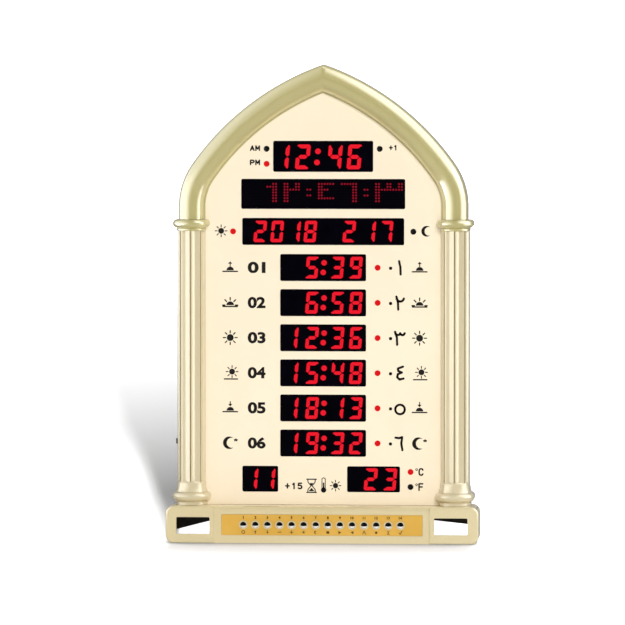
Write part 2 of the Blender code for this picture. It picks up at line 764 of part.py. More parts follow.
def make_key_board():
    """Switch board: a circuit board with one tactile switch behind each key."""
    half = KEY_BOARD_WIDTH / 2
    rise = KEY_BOARD_HEIGHT / 2
    board = box("key_board", (-half, KEY_BOARD_Y, KEY_Z - rise),
                (half, KEY_BOARD_Y + BOARD, KEY_Z + rise))
    switches = bmesh.new()
    body_front = KEY_BOARD_Y - SWITCH_HEIGHT
    body_back = KEY_BOARD_Y + BOARD / 2
    for x, z in key_places():
        made = bmesh.ops.create_cube(switches, size=SWITCH_SIZE)
        stretch = (1.0, (body_back - body_front) / SWITCH_SIZE, 1.0)
        bmesh.ops.scale(switches, verts=made["verts"], vec=stretch)
        bmesh.ops.translate(switches, verts=made["verts"],
                            vec=(x, (body_front + body_back) / 2, z))
    bodies = from_bmesh("switch_bodies", switches)
    plungers = rods("switch_plungers", key_places(), PLUNGER_DIAMETER, SWITCH_TIP_Y,
                    body_front + SWITCH_HEIGHT / 2, 6)
    join(board, bodies, plungers)
    return keep_as_part(board, GREEN_BOARD)


# Face panel, displays and lamps


def displays():
    """Every display: name, middle X and Z, width, height, digit height and middles."""
    modules = row(0.0, MATRIX_MODULES, MATRIX_MODULE)
    time_digits = row(TIME_HOUR_X, 2, TIME_DIGIT_PITCH) + row(TIME_MINUTE_X, 2, TIME_DIGIT_PITCH)
    date_digits = row(YEAR_X, 4, DATE_DIGIT_PITCH)
    date_digits += row(MONTH_X, 2, DATE_DIGIT_PITCH) + row(DAY_X, 2, DATE_DIGIT_PITCH)
    prayer_digits = row(PRAYER_HOUR_X, 2, PRAYER_DIGIT_PITCH)
    prayer_digits += row(PRAYER_MINUTE_X, 2, PRAYER_DIGIT_PITCH)
    listed = [
        ("display_time", 0.0, TIME_Z, TIME_WIDTH, TIME_HEIGHT, TIME_DIGIT_HEIGHT, time_digits),
        ("display_message", 0.0, MESSAGE_Z, MESSAGE_WIDTH, MESSAGE_HEIGHT, MATRIX_MODULE, modules),
        ("display_date", 0.0, DATE_Z, DATE_WIDTH, DATE_HEIGHT, DATE_DIGIT_HEIGHT, date_digits),
        ("display_countdown", COUNTDOWN_X, LOWER_Z, COUNTDOWN_WIDTH, LOWER_HEIGHT,
         LOWER_DIGIT_HEIGHT, row(0.0, 2, LOWER_DIGIT_PITCH)),
        ("display_temperature", TEMPERATURE_X, LOWER_Z, TEMPERATURE_WIDTH, LOWER_HEIGHT,
         LOWER_DIGIT_HEIGHT, row(0.0, 3, LOWER_DIGIT_PITCH)),
    ]
    for index, name in enumerate(PRAYER_NAMES):
        listed.append(("display_" + name, 0.0, PRAYER_TOP_Z - index * PRAYER_PITCH, PRAYER_WIDTH,
                       PRAYER_HEIGHT, PRAYER_DIGIT_HEIGHT, prayer_digits))
    return listed


def lamps():
    """Every indicator lamp: name, X, Z and finish."""
    rise = LAMP_PAIR_PITCH / 2
    time_x = TIME_WIDTH / 2 + TIME_LAMP_GAP
    date_x = DATE_WIDTH / 2 + CALENDAR_LAMP_GAP
    prayer_x = PRAYER_WIDTH / 2 + PRAYER_LAMP_GAP
    unit_x = TEMPERATURE_X + TEMPERATURE_WIDTH / 2 + UNIT_LAMP_GAP
    listed = [
        ("lamp_am", -time_x, TIME_Z + rise, DARK_LAMP),
        ("lamp_pm", -time_x, TIME_Z - rise, RED_LAMP),
        ("lamp_summer_time", time_x, TIME_Z + rise, DARK_LAMP),
        ("lamp_solar_date", -date_x, DATE_Z, RED_LAMP),
        ("lamp_lunar_date", date_x, DATE_Z, DARK_LAMP),
        ("lamp_celsius", unit_x, LOWER_Z + rise, RED_LAMP),
        ("lamp_fahrenheit", unit_x, LOWER_Z - rise, DARK_LAMP),
    ]
    for index, name in enumerate(PRAYER_NAMES):
        listed.append(("lamp_" + name, prayer_x, PRAYER_TOP_Z - index * PRAYER_PITCH, RED_LAMP))
    return listed


def boss_places():
    side_x = COLUMN_X - SIDE_BOSS_INSET
    right = [(side_x, SIDE_BOSS_LOW_Z), (side_x, SIDE_BOSS_HIGH_Z), (TOP_BOSS_X, TOP_BOSS_Z)]
    return [(side * x, z) for side in (-1, 1) for x, z in right]


def make_face_panel():
    """Arched face plate with its display and lamp openings and the cover's screw bosses."""
    loops = [arch_plate_outline(-PANEL_EDGE, PLINTH_TOP + GAP)]
    for _name, x, z, width, height, _digit, _middles in displays():
        loops.append(rounded_rectangle(x, z, width, height, OPENING_CORNER))
    for _name, x, z, _finish in lamps():
        loops.append(circle(x, z, LAMP_DIAMETER + 2 * LAMP_FIT))
    panel = prism("face_panel", loops, PANEL_FRONT_Y, PANEL_BACK_Y, "Y")
    boss_end = COVER_INNER_Y - GAP
    bosses = rods("cover_bosses", boss_places(), COVER_BOSS_DIAMETER,
                  PANEL_BACK_Y - PANEL_THICKNESS / 2, boss_end)
    pilots = rods("boss_pilots", boss_places(), PILOT_DIAMETER, boss_end - PILOT_DEPTH, REAR_Y)
    join(panel, bosses)
    cut(panel, pilots)
    return keep_as_part(panel, CREAM)


def digit_field(middle_x, middle_z, width, height):
    """Slanted outline of one digit's field."""
    lean = height / 2 * math.tan(DIGIT_SLANT)
    half = width / 2
    rise = height / 2
    return [(middle_x - half - lean, middle_z - rise), (middle_x + half - lean, middle_z - rise),
            (middle_x + half + lean, middle_z + rise), (middle_x - half + lean, middle_z + rise)]


def make_displays():
    """Black display blocks: a flanged body behind the panel, a nose filling the opening."""
    lens_y = PANEL_FRONT_Y + LENS_SETBACK
    body_front = PANEL_BACK_Y + GAP
    body_back = BOARD_FRONT_Y - GAP
    for name, x, z, width, height, digit_height, middles in displays():
        nose_outline = rounded_rectangle(x, z, width - 2 * DISPLAY_FIT, height - 2 * DISPLAY_FIT,
                                         OPENING_CORNER - DISPLAY_FIT)
        body_width = width + 2 * DISPLAY_FLANGE
        body_height = height + 2 * DISPLAY_FLANGE
        body = box(name, (x - body_width / 2, body_front, z - body_height / 2),
                   (x + body_width / 2, body_back, z + body_height / 2))
        nose = prism(name + "_nose", [nose_outline], lens_y, (body_front + body_back) / 2, "Y")
        if name == "display_message":
            side = MATRIX_MODULE - DISPLAY_FIT
            fields = [rounded_rectangle(x + middle, z, side, side, DISPLAY_FIT, 1)
                      for middle in middles]
        else:
            field_width = digit_height * DIGIT_ASPECT
            fields = [digit_field(x + middle, z, field_width, digit_height) for middle in middles]
        well_shape = bmesh.new()
        for field in fields:
            well = prism(name + "_well", [field], lens_y - DIGIT_WELL, lens_y + DIGIT_WELL, "Y")
            well.data.transform(well.matrix_world)
            well_shape.from_mesh(well.data)
            bpy.data.objects.remove(well, do_unlink=True)
        wells = from_bmesh(name + "_wells", well_shape)
        join(body, nose)
        cut(body, wells)
        keep_as_part(body, BLACK_LENS)


def make_lamps():
    """Domed indicator lamps on spacers that stand on the main board."""
    radius = LAMP_DIAMETER / 2
    back = BOARD_FRONT_Y - GAP
    flange_front = back - (PANEL_BACK_Y + GAP)
    tip = back - (PANEL_FRONT_Y - LAMP_PROUD)
    profile = []
    for step in range(3):
        angle = math.pi / 2 * step / 2
        profile.append((radius * math.sin(angle), tip - LAMP_DOME * (1 - math.cos(angle))))
    flange_radius = LAMP_FLANGE_DIAMETER / 2
    spacer_radius = LAMP_SPACER_DIAMETER / 2
    profile += [(radius, flange_front), (flange_radius, flange_front),
                (flange_radius, flange_front - LAMP_FLANGE),
                (spacer_radius, flange_front - LAMP_FLANGE), (spacer_radius, 0.0), (0.0, 0.0)]
    for name, x, z, finish in lamps():
        lamp = turned(name, profile, SMALL_STEPS)
        lamp.rotation_euler.x = math.pi / 2
        lamp.location = (x, back, z)
        keep_as_part(lamp, finish)


# Inside the housing


def make_main_board():
    """Board behind the displays, narrower at the top to clear the arch."""
    half = MAIN_BOARD_WIDTH / 2
    top_half = MAIN_BOARD_TOP_WIDTH / 2
    outline = [(-half, MAIN_BOARD_BOTTOM), (half, MAIN_BOARD_BOTTOM),
               (half, MAIN_BOARD_SHOULDER_Z), (top_half, MAIN_BOARD_SHOULDER_Z),
               (top_half, MAIN_BOARD_TOP), (-top_half, MAIN_BOARD_TOP),
               (-top_half, MAIN_BOARD_SHOULDER_Z), (-half, MAIN_BOARD_SHOULDER_Z)]
    board = prism("main_board", [outline], BOARD_FRONT_Y, BOARD_FRONT_Y + BOARD, "Y")
    return keep_as_part(board, GREEN_BOARD)


def make_backup_cell():
    """Coin cell that keeps the time, in a cup on the back of the main board."""
    board_back = BOARD_FRONT_Y + BOARD + GAP
    cell_radius = CELL_DIAMETER / 2
    cup_radius = cell_radius + GAP + WALL
    floor = WALL / 2
    rim = floor + GAP + CELL_THICKNESS
    cup_profile = [(0.0, floor), (cell_radius + GAP, floor), (cell_radius + GAP, rim),
                   (cup_radius, rim), (cup_radius, 0.0), (0.0, 0.0)]
    cup = turned("cell_cup", cup_profile, 2 * SMALL_STEPS)
    cup.rotation_euler.x = -math.pi / 2
    cup.location = (CELL_X, board_back, CELL_Z)
    keep_as_part(cup, BLACK_PLASTIC)
    edge = CELL_THICKNESS / 8
    cell_profile = [(0.0, CELL_THICKNESS), (cell_radius - edge, CELL_THICKNESS),
                    (cell_radius, CELL_THICKNESS - edge), (cell_radius, 0.0), (0.0, 0.0)]
    cell = turned("backup_cell", cell_profile, 2 * SMALL_STEPS)
    cell.rotation_euler.x = -math.pi / 2
    cell.location = (CELL_X, board_back + floor + GAP, CELL_Z)
    keep_as_part(cell, STEEL)


def make_speaker():
    """Loudspeaker behind the grille: cone, flange, basket and magnet."""
    radius = SPEAKER_DIAMETER / 2
    magnet_radius = MAGNET_DIAMETER / 2
    cone_rim = radius - WALL
    cap_radius = magnet_radius / 2
    profile = [(0.0, -CONE_DEPTH + WALL / 2), (cap_radius, -CONE_DEPTH),
               (cone_rim, -SPEAKER_FLANGE), (cone_rim, 0.0), (radius, 0.0),
               (radius, -SPEAKER_FLANGE), (cone_rim, -SPEAKER_FLANGE - WALL / 2),
               (magnet_radius, MAGNET_DEPTH - SPEAKER_DEPTH),
               (magnet_radius, -SPEAKER_DEPTH), (0.0, -SPEAKER_DEPTH)]
    speaker = turned("speaker", profile, 2 * SMALL_STEPS)
    speaker.rotation_euler.x = -math.pi / 2
    speaker.location = (0.0, COVER_INNER_Y - GAP, GRILLE_Z)
    return keep_as_part(speaker, BLACK_PLASTIC)


def make_power_socket():
    """Barrel socket in the left column: block inside, collar through the wall, centre pin."""
    wall_outside = -COLUMN_X - SHAFT_RADIUS
    wall_inside = wall_outside + WALL
    half_width = SOCKET_BODY_WIDTH / 2
    half_height = SOCKET_BODY_HEIGHT / 2
    block = box("power_socket",
                (wall_inside + GAP, SOCKET_Y - half_width, SOCKET_Z - half_height),
                (wall_inside + GAP + SOCKET_BODY_DEPTH, SOCKET_Y + half_width,
                 SOCKET_Z + half_height))
    tip = wall_outside - SOCKET_PROUD
    steps = 2 * SMALL_STEPS
    collar_outline = circle(SOCKET_Y, SOCKET_Z, SOCKET_COLLAR_DIAMETER, steps)
    bore_outline = circle(SOCKET_Y, SOCKET_Z, SOCKET_BORE_DIAMETER, steps)
    pin_outline = circle(SOCKET_Y, SOCKET_Z, SOCKET_PIN_DIAMETER)
    collar = prism("socket_collar", [collar_outline], tip, wall_inside + SOCKET_BODY_DEPTH / 2, "X")
    bore = prism("socket_bore", [bore_outline, pin_outline], tip - WALL,
                 tip + SOCKET_BORE_DEPTH, "X")
    trim = prism("socket_pin_trim", [circle(SOCKET_Y, SOCKET_Z, SOCKET_BORE_DIAMETER - GAP, steps)],
                 tip - 2 * WALL, tip + WALL / 2, "X")
    join(block, collar)
    cut(block, bore, trim)
    return keep_as_part(block, BLACK_PLASTIC)


def keyhole_outline(middle_x, middle_z):
    """Hanging keyhole: a round entry with a narrow slot above it."""
    half_slot = math.asin(KEYHOLE_SLOT_RADIUS / KEYHOLE_HEAD_RADIUS)
    head = arc(middle_x, middle_z, KEYHOLE_HEAD_RADIUS, math.pi / 2 + half_slot,
               math.tau + math.pi / 2 - half_slot, SMALL_STEPS)
    slot = arc(middle_x, middle_z + KEYHOLE_RISE, KEYHOLE_SLOT_RADIUS, 0.0, math.pi, 4)
    return head + slot


def slot_outline(middle_x, middle_z, length, height):
    return rounded_rectangle(middle_x, middle_z, length, height, height / 4, 1)


def cover_outline():
    """The arch's inside outline above the capitals, and the columns' inside walls below."""
    bottom_z = PLINTH_TOP + GAP
    step_z = CAPITAL_TOP_Z - GAP
    side_x = COLUMN_X + COVER_SIDE
    foot = [(-side_x, step_z), (-side_x, bottom_z), (side_x, bottom_z), (side_x, step_z)]
    return arch_plate_outline(COVER_EDGE, step_z) + foot


def make_rear_cover():
    """Flat black cover: keyholes, speaker grille, vents, screw seats and board standoffs."""
    loops = [cover_outline()]
    for side in (-1, 1):
        loops.append(keyhole_outline(side * KEYHOLE_X, KEYHOLE_Z))
    grille_radius = SPEAKER_DIAMETER / 2 - 2 * WALL
    for rise in row(0.0, GRILLE_SLOTS, GRILLE_PITCH):
        length = 2 * math.sqrt(grille_radius ** 2 - rise ** 2)
        loops.append(slot_outline(0.0, GRILLE_Z + rise, length, GRILLE_SLOT_HEIGHT))
    for index in range(VENT_SLOTS):
        loops.append(slot_outline(0.0, VENT_Z + index * GRILLE_PITCH, VENT_WIDTH,
                                  GRILLE_SLOT_HEIGHT))
    for x, z in boss_places():
        loops.append(circle(x, z, PILOT_DIAMETER))
    cover = prism("rear_cover", loops, COVER_INNER_Y, REAR_Y, "Y")
    seats = rods("screw_seats", boss_places(), SCREW_SEAT_DIAMETER, REAR_Y - SCREW_SEAT_DEPTH,
                 REAR_Y + WALL)
    standoff_places = [(side * STANDOFF_X, z) for side in (-1, 1)
                       for z in (STANDOFF_LOW_Z, STANDOFF_HIGH_Z)]
    standoffs = rods("board_standoffs", standoff_places, STANDOFF_DIAMETER,
                     BOARD_FRONT_Y + BOARD + GAP, COVER_INNER_Y + PLATE / 2)
    join(cover, standoffs)
    cut(cover, seats)
    return keep_as_part(cover, BLACK_PLASTIC)


def make_cover_screws():
    """Round-head screws through the rear cover into the panel's bosses."""
    head_radius = SCREW_HEAD_DIAMETER / 2
    shank_radius = SCREW_DIAMETER / 2
    profile = [(0.0, SCREW_HEAD), (head_radius - SCREW_HEAD, SCREW_HEAD),
               (head_radius, SCREW_HEAD / 2), (head_radius, 0.0), (shank_radius, 0.0),
               (shank_radius, shank_radius - SCREW_LENGTH), (0.0, -SCREW_LENGTH)]
    for index, (x, z) in enumerate(boss_places(), 1):
        screw = turned(f"cover_screw_{index}", profile, SMALL_STEPS)
        screw.rotation_euler.x = -math.pi / 2
        screw.location = (x, REAR_Y - SCREW_SEAT_DEPTH + GAP, z)
        keep_as_part(screw, STEEL)


clear_scene()
PARTS = new_collection("azan_clock")
HELPERS = new_collection("helpers")

make_plinth()
make_base_back_plate()
left_column = make_column("left_column", -1)
socket_hole = prism("socket_hole",
                    [circle(SOCKET_Y, SOCKET_Z, SOCKET_COLLAR_DIAMETER + 2 * GAP, 2 * SMALL_STEPS)],
                    -COLUMN_X - BASE_TORUS_RADIUS, -COLUMN_X, "X")
cut(left_column, socket_hole)
make_column("right_column", 1)
make_arch()
make_face_panel()
make_displays()
make_lamps()
make_key_label()
make_keys()
make_key_board()
make_main_board()
make_backup_cell()
make_speaker()
make_power_socket()
make_rear_cover()
make_cover_screws()
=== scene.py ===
"""Dressed scene of the azan clock: fine mouldings, lit digits, printed marks and materials."""

from math import acos, asin, cos, hypot, pi, radians, sin, sqrt, tan, tau

import bmesh
import bpy
from mathutils import Matrix, Vector


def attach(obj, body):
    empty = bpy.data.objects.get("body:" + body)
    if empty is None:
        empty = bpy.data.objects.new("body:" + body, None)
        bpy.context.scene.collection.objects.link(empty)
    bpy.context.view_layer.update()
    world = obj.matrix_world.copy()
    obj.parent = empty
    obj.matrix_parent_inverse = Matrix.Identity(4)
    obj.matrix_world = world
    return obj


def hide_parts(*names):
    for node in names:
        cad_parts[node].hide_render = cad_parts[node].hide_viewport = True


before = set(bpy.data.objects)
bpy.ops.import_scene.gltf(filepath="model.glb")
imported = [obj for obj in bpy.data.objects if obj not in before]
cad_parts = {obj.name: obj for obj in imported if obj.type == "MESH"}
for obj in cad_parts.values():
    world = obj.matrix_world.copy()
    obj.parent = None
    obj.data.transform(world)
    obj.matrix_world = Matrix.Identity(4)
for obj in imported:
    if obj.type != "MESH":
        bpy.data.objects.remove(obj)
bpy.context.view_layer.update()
HOUSING = "housing"

# Sizes of the solids, in metres
GAP = 0.0003
WALL = 0.0025
FRONT_Y = -0.032
REAR_Y = 0.032
SHOULDER_Y = -0.002
PLINTH_WIDTH = 0.4376
PLINTH_HEIGHT = 0.052
PLINTH_WALL = 0.003
PLINTH_CORNER = 0.011
PLINTH_EDGE = 0.0035
CENTRE_WIDTH = 0.302
CENTRE_FRONT_Y = FRONT_Y + 0.003
CENTRE_TOP_ROUND = 0.009
WINDOW_X = 0.1802
WINDOW_Z = 0.0246
WINDOW_WIDTH = 0.0466
WINDOW_HEIGHT = 0.0234
WINDOW_CORNER = 0.0016
KEY_COUNT = 14
KEY_PITCH = 0.0169
KEY_Z = 0.0257
KEY_DIAMETER = 0.0084
KEY_RIM_DIAMETER = 0.0120
KEY_RIM_RISE = 0.0012
KEY_DOME = 0.0016
KEY_FLANGE_RADIUS = 0.0056
KEY_FLANGE = 0.0012
LABEL_WIDTH = 0.281
LABEL_HEIGHT = 0.0288
LABEL_THICKNESS = 0.0008
LABEL_CORNER = 0.0012
LABEL_FLOOR_Y = CENTRE_FRONT_Y + LABEL_THICKNESS + GAP
CENTRE_INNER_Y = LABEL_FLOOR_Y + PLINTH_WALL
COLUMN_X = 0.1845
SHAFT_RADIUS = 0.0198
FLUTE_DEPTH = 0.0026
ARRIS_GROOVE_WIDTH = 0.0016
ARRIS_GROOVE_DEPTH = 0.0013
GROOVE_NEAR_SIDE = 0.002
GROOVE_TILT = 0.75
SOCKET_HOLE_DIAMETER = 0.0084
SOCKET_Y = 0.012
SOCKET_Z = 0.140
BLOCK_RADIUS = 0.0222
BLOCK_HEIGHT = 0.0042
BASE_GROOVE = 0.0014
BASE_TORUS_RADIUS = 0.0273
BASE_TORUS_HEIGHT = 0.0123
TORUS_END = radians(84)
FLARE_RADIUS = 0.0221
FLARE_HEIGHT = 0.0150
CAPITAL_TOP_Z = 0.4515
CAPITAL_TORUS_RADIUS = 0.0259
CAPITAL_TORUS_HEIGHT = 0.0112
NECK_RING_RADIUS = 0.0206
NECK_RING_HEIGHT = 0.0036
NECK_GROOVE = 0.0009
NECK_ROUND = 0.0012
MOULDING_RADIUS = 0.0177
LIP_WIDTH = 0.0019
LIP_HEIGHT = 0.0014
ARCH_SPRING_Z = 0.4694
ARCH_LOW_RADIUS = 0.0857
ARCH_LOW_ANGLE = radians(35.0)
ARCH_HIGH_RADIUS = 0.3587
PANEL_FRONT_Y = SHOULDER_Y + GAP
PANEL_BACK_Y = PANEL_FRONT_Y + 0.003
PANEL_EDGE = 0.0170
OPENING_CORNER = 0.0024
COVER_INNER_Y = 0.0295
LENS_Y = PANEL_FRONT_Y + 0.0006
LIT_Y, LIT_DEPTH = LENS_Y - 0.00008, 0.0003
UNLIT_Y, UNLIT_DEPTH = LENS_Y - 0.00004, 0.0002
LAMP_DIAMETER = 0.0068
LAMP_LENS_DIAMETER = 0.0083
LAMP_PROUD = 0.0011
LAMP_BACK_Y = 0.0092
LAMP_SKIN = 0.0001
LAMP_BODY_RADIUS = 0.0042
LAMP_BODY = 0.001
LAMP_STEM_RADIUS = 0.0025
PRINT_Y = PANEL_FRONT_Y - 0.00006
LABEL_PRINT_Y = CENTRE_FRONT_Y - 0.00006

# Steps, overruns and edge angles (in degrees) of the fine pieces
RING = 96
FLUTES = 4
FLUTE_STEPS = 16
WELD = 1e-6
BEYOND = 0.064
SHARP = 28.0
COVER_SHARP = 30.0
FLAT_ANGLE = radians(0.1)


# Materials


def rgb(red, green, blue):
    """Linear colour of an 8-bit display colour."""
    out = []
    for value in (red, green, blue):
        v = value / 255.0
        out.append(v / 12.92 if v <= 0.04045 else ((v + 0.055) / 1.055) ** 2.4)
    return (*out, 1.0)


class Graph:
    """Short names for the nodes of one shader tree."""

    def __init__(self, tree):
        self.tree = tree

    def fill(self, node, sockets):
        """Set numbers on a node's sockets and link the sockets of other nodes to them."""
        for key, value in sockets.items():
            if isinstance(value, bpy.types.NodeSocket):
                self.tree.links.new(value, node.inputs[key])
            else:
                node.inputs[key].default_value = value
        return node

    def new(self, kind, **sockets):
        """A node whose sockets are named with _ in place of spaces."""
        named = {key.replace("_", " "): value for key, value in sockets.items()}
        return self.fill(self.tree.nodes.new("ShaderNode" + kind), named)

    def add(self, kind, **sockets):
        return self.new(kind, **sockets).outputs

    def slope(self, value, low, high, to_low=0.0, to_high=1.0, kind="SMOOTHSTEP"):
        """Step of a value from one level to another, soft unless the kind is LINEAR."""
        node = self.new("MapRange", Value=value, From_Min=low, From_Max=high, To_Min=to_low,
                        To_Max=to_high)
        node.interpolation_type = kind
        return node.outputs["Result"]

    def calculate(self, operation, first, *others):
        """The values joined from left to right by one kind of Math node."""
        for value in others:
            node = self.fill(self.new("Math"), {0: first, 1: value})
            node.operation = operation
            first = node.outputs[0]
        return first

    def times(self, *values):
        return self.calculate("MULTIPLY", *values)

    def plus(self, *values):
        return self.calculate("ADD", *values)

    def axes(self, way):
        """X, Y and Z of a vector."""
        split = self.add("SeparateXYZ", Vector=way)
        return [split[axis] for axis in "XYZ"]

    def mix(self, share, first, second):
        return self.fill(self.new("MixShader"), {0: share, 1: first, 2: second}).outputs[0]


class Surface(Graph):
    """A Principled material with noise-driven colour, roughness and bump."""

    def __init__(self, name, colour, roughness, metallic=0.0, coat=0.0, coat_roughness=0.1,
                 coat_index=1.5, specular=0.5):
        self.material = bpy.data.materials.new(name)
        self.material.use_nodes = True
        super().__init__(self.material.node_tree)
        self.shader = self.tree.nodes["Principled BSDF"]
        self.place = self.add("TexCoord")["Object"]
        self.set({"Base Color": rgb(*colour), "Roughness": roughness, "Metallic": metallic,
                  "Coat Weight": coat, "Coat Roughness": coat_roughness,
                  "Coat IOR": coat_index, "Specular IOR Level": specular})

    def set(self, sockets):
        self.fill(self.shader, sockets)

    def noise(self, scale, detail=3.0, stretch=None):
        place = self.place
        if stretch:
            place = self.add("Mapping", Scale=stretch, Vector=place)["Vector"]
        return self.add("TexNoise", Scale=scale, Detail=detail, Roughness=0.55,
                        Vector=place)["Fac"]

    def ramp(self, value, first, last, start=0.3, end=0.7):
        """Colours from the first 8-bit one at the start to the last one at the end."""
        node = self.new("ValToRGB", Fac=value)
        for element, place, colour in zip(node.color_ramp.elements, (start, end), (first, last)):
            element.position = place
            element.color = rgb(*colour)
        return node.outputs["Color"]

    def rough(self, value, low, high):
        self.set({"Roughness": self.slope(value, 0.3, 0.7, low, high, "LINEAR")})

    def bump(self, value, strength, distance):
        bump = self.add("Bump", Height=value, Strength=strength, Distance=distance)
        self.set({"Normal": bump["Normal"]})


def grained(name, colour, roughness, tones=None, rough=None, bump=None, **looks):
    """Material of three noises, each given by the arguments of Surface.noise.

    tones is (noise, dark, light), rough is (noise, low, high) and bump is (noise, strength,
    distance).
    """
    surface = Surface(name, colour, roughness, **looks)
    if tones:
        surface.set({"Base Color": surface.ramp(surface.noise(*tones[0]), *tones[1:])})
    if rough:
        surface.rough(surface.noise(*rough[0]), *rough[1:])
    if bump:
        surface.bump(surface.noise(*bump[0]), *bump[1:])
    return surface.material


def gilded(name, dark, light, coat_index, coat_roughness):
    """Champagne gilding: fine flake, faint clouding and a clear top coat."""
    return grained(name, light, 0.3, ((8.0, 4.0), dark, light), ((700.0, 2.0), 0.27, 0.34),
                   ((1500.0, 2.0), 0.02, 0.00003), metallic=0.1, coat=1.0,
                   coat_roughness=coat_roughness, coat_index=coat_index)


def moulded(name, dark, light, roughness, grain, specular=0.5):
    """Moulded plastic with a fine spark-eroded texture."""
    return grained(name, light, roughness, ((60.0,), dark, light),
                   ((500.0,), roughness - 0.06, roughness + 0.06),
                   ((grain, 2.0), 0.35, 0.00012), specular=specular)


def lit(name, core, rim):
    """Red light that varies a little with a fine grain."""
    surface = Surface(name, (40, 2, 4), 0.4, specular=0.1)
    surface.set({"Emission Color": surface.ramp(surface.noise(700.0, 2.0), rim, core),
                 "Emission Strength": 1.0})
    return surface.material


def key_painted_reflection():
    """Bright metal with a painted reflection: white where the surface faces down and black where
    it faces up, standing in for the pale sheet below and a dark room above.
    """
    surface = Surface("chromed_key", (216, 217, 220), 0.08, metallic=0.25, specular=0.2)
    surface.rough(surface.noise(300.0), 0.06, 0.12)
    surface.bump(surface.noise(1400.0), 0.02, 0.00002)
    # Painted reflection: the base colour turns from white to black as the normal turns upward
    upward = surface.axes(surface.add("NewGeometry")["Normal"])[2]
    rise = surface.slope(upward, -0.5, 0.5, kind="LINEAR")
    surface.set({"Base Color": surface.ramp(rise, (250, 250, 250), (4, 3, 4), 0.34, 0.40)})
    return surface.material


# One gilding in copies for the arch (also used on the capitals), the columns and the plinth, each
# with a tone and coat set to how light falls on that part; the differences in tone between them
# are painted light and shade
GOLD = gilded("gilded_arch_lit_tone", (194, 183, 116), (201, 190, 124), 2.4, 0.12)
COLUMN_GOLD_LIT_TONE = gilded("gilded_column_lit_tone", (216, 202, 163), (222, 209, 173), 1.7, 0.17)
# The groove copy is darker: painted shade for the sides of the arris grooves
GROOVE_GOLD_PAINTED_SHADE = gilded("gilded_groove_painted_shade", (160, 141, 97), (172, 153, 108), 1.5, 0.2)
PLINTH_GOLD_LIT_TONE = gilded("gilded_plinth_lit_tone", (229, 212, 163), (235, 219, 173), 2.0, 0.14)
BLACK = moulded("moulded_black", (20, 20, 21), (30, 30, 31), 0.5, 1600.0)
SCREEN_BLACK = moulded("unlit_lamp_black", (6, 6, 7), (12, 12, 14), 0.22, 900.0, 0.3)
UNLIT_DOT = moulded("unlit_dot", (3, 2, 5), (5, 3, 8), 0.4, 900.0, 0.03)
LED = lit("lit_segment", (246, 28, 46), (228, 16, 36))
DOT = lit("lit_dot", (146, 14, 37), (110, 8, 27))
LAMP_RED = lit("lit_lamp", (232, 21, 25), (204, 12, 17))
KEY_PAINTED_REFLECTION = key_painted_reflection()
CREAM = grained("cream_printed_sheet", (250, 235, 207), 0.5, specular=0.3,
                tones=((9.0, 4.0), (249, 233, 205), (251, 237, 210)),
                rough=((300.0,), 0.44, 0.54), bump=((1800.0, 2.0), 0.10, 0.00004))
LENS = grained("smoked_lens", (3, 2, 8), 0.16, specular=0.03,
               tones=((40.0,), (1, 1, 4), (5, 3, 11)), rough=((400.0,), 0.13, 0.22))
INK = grained("black_ink", (14, 13, 12), 0.55, specular=0.3,
              tones=((220.0,), (10, 9, 8), (24, 22, 20)), bump=((2600.0,), 0.2, 0.00003))
BROWN_INK = grained("brown_ink", (70, 44, 14), 0.55, specular=0.3,
                    tones=((220.0,), (58, 36, 10), (84, 54, 20)))
AMBER = grained("amber_strip", (222, 174, 68), 0.42, coat=0.2, coat_roughness=0.2,
                tones=((16.0, 4.0), (214, 166, 60), (226, 178, 76)),
                rough=((500.0,), 0.36, 0.48), bump=((1500.0,), 0.12, 0.00004))
STEEL = grained("plated_steel", (190, 190, 186), 0.3, metallic=1.0,
                rough=((700.0, 3.0, (1.0, 1.0, 8.0)), 0.24, 0.40),
                bump=((1800.0,), 0.1, 0.00003))
BOARD = grained("green_board", (18, 92, 52), 0.4, coat=0.3, coat_roughness=0.2,
                tones=((180.0,), (14, 78, 44), (24, 104, 60)), bump=((700.0,), 0.2, 0.00006))
CONE = grained("speaker_cone", (34, 33, 32), 0.75, bump=((1200.0,), 0.4, 0.0001),
               tones=((300.0,), (26, 25, 24), (44, 42, 40)))


# Mesh helpers

SCRATCH = bpy.data.collections.new("scratch")
bpy.context.scene.collection.children.link(SCRATCH)


def new_piece(name, data):
    piece = bpy.data.objects.new(name, data)
    SCRATCH.objects.link(piece)
    return piece


def from_bmesh(name, shape, angle=35.0):
    bmesh.ops.remove_doubles(shape, verts=shape.verts, dist=WELD)
    bmesh.ops.recalc_face_normals(shape, faces=shape.faces)
    data = bpy.data.meshes.new(name)
    shape.to_mesh(data)
    shape.free()
    data.shade_smooth()
    data.set_sharp_from_angle(angle=radians(angle))
    return new_piece(name, data)


def evaluated_bmesh(piece):
    bpy.context.view_layer.update()
    depsgraph = bpy.context.evaluated_depsgraph_get()
    data = bpy.data.meshes.new_from_object(piece.evaluated_get(depsgraph))
    shape = bmesh.new()
    shape.from_mesh(data)
    bpy.data.meshes.remove(data)
    return shape


def discard(*pieces):
    for piece in pieces:
        bpy.data.objects.remove(piece, do_unlink=True)


def settled(piece, name, angle):
    """The piece with its modifiers applied and its place moved into the mesh."""
    shape = evaluated_bmesh(piece)
    shape.transform(piece.matrix_world)
    discard(piece)
    return from_bmesh(name, shape, angle)


def dress(piece, material, node=None, body=HOUSING):
    """Give a piece its material and body, and hide the node that it stands for."""
    piece.data.materials.clear()
    piece.data.materials.append(material)
    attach(piece, body)
    if node:
        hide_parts(node)


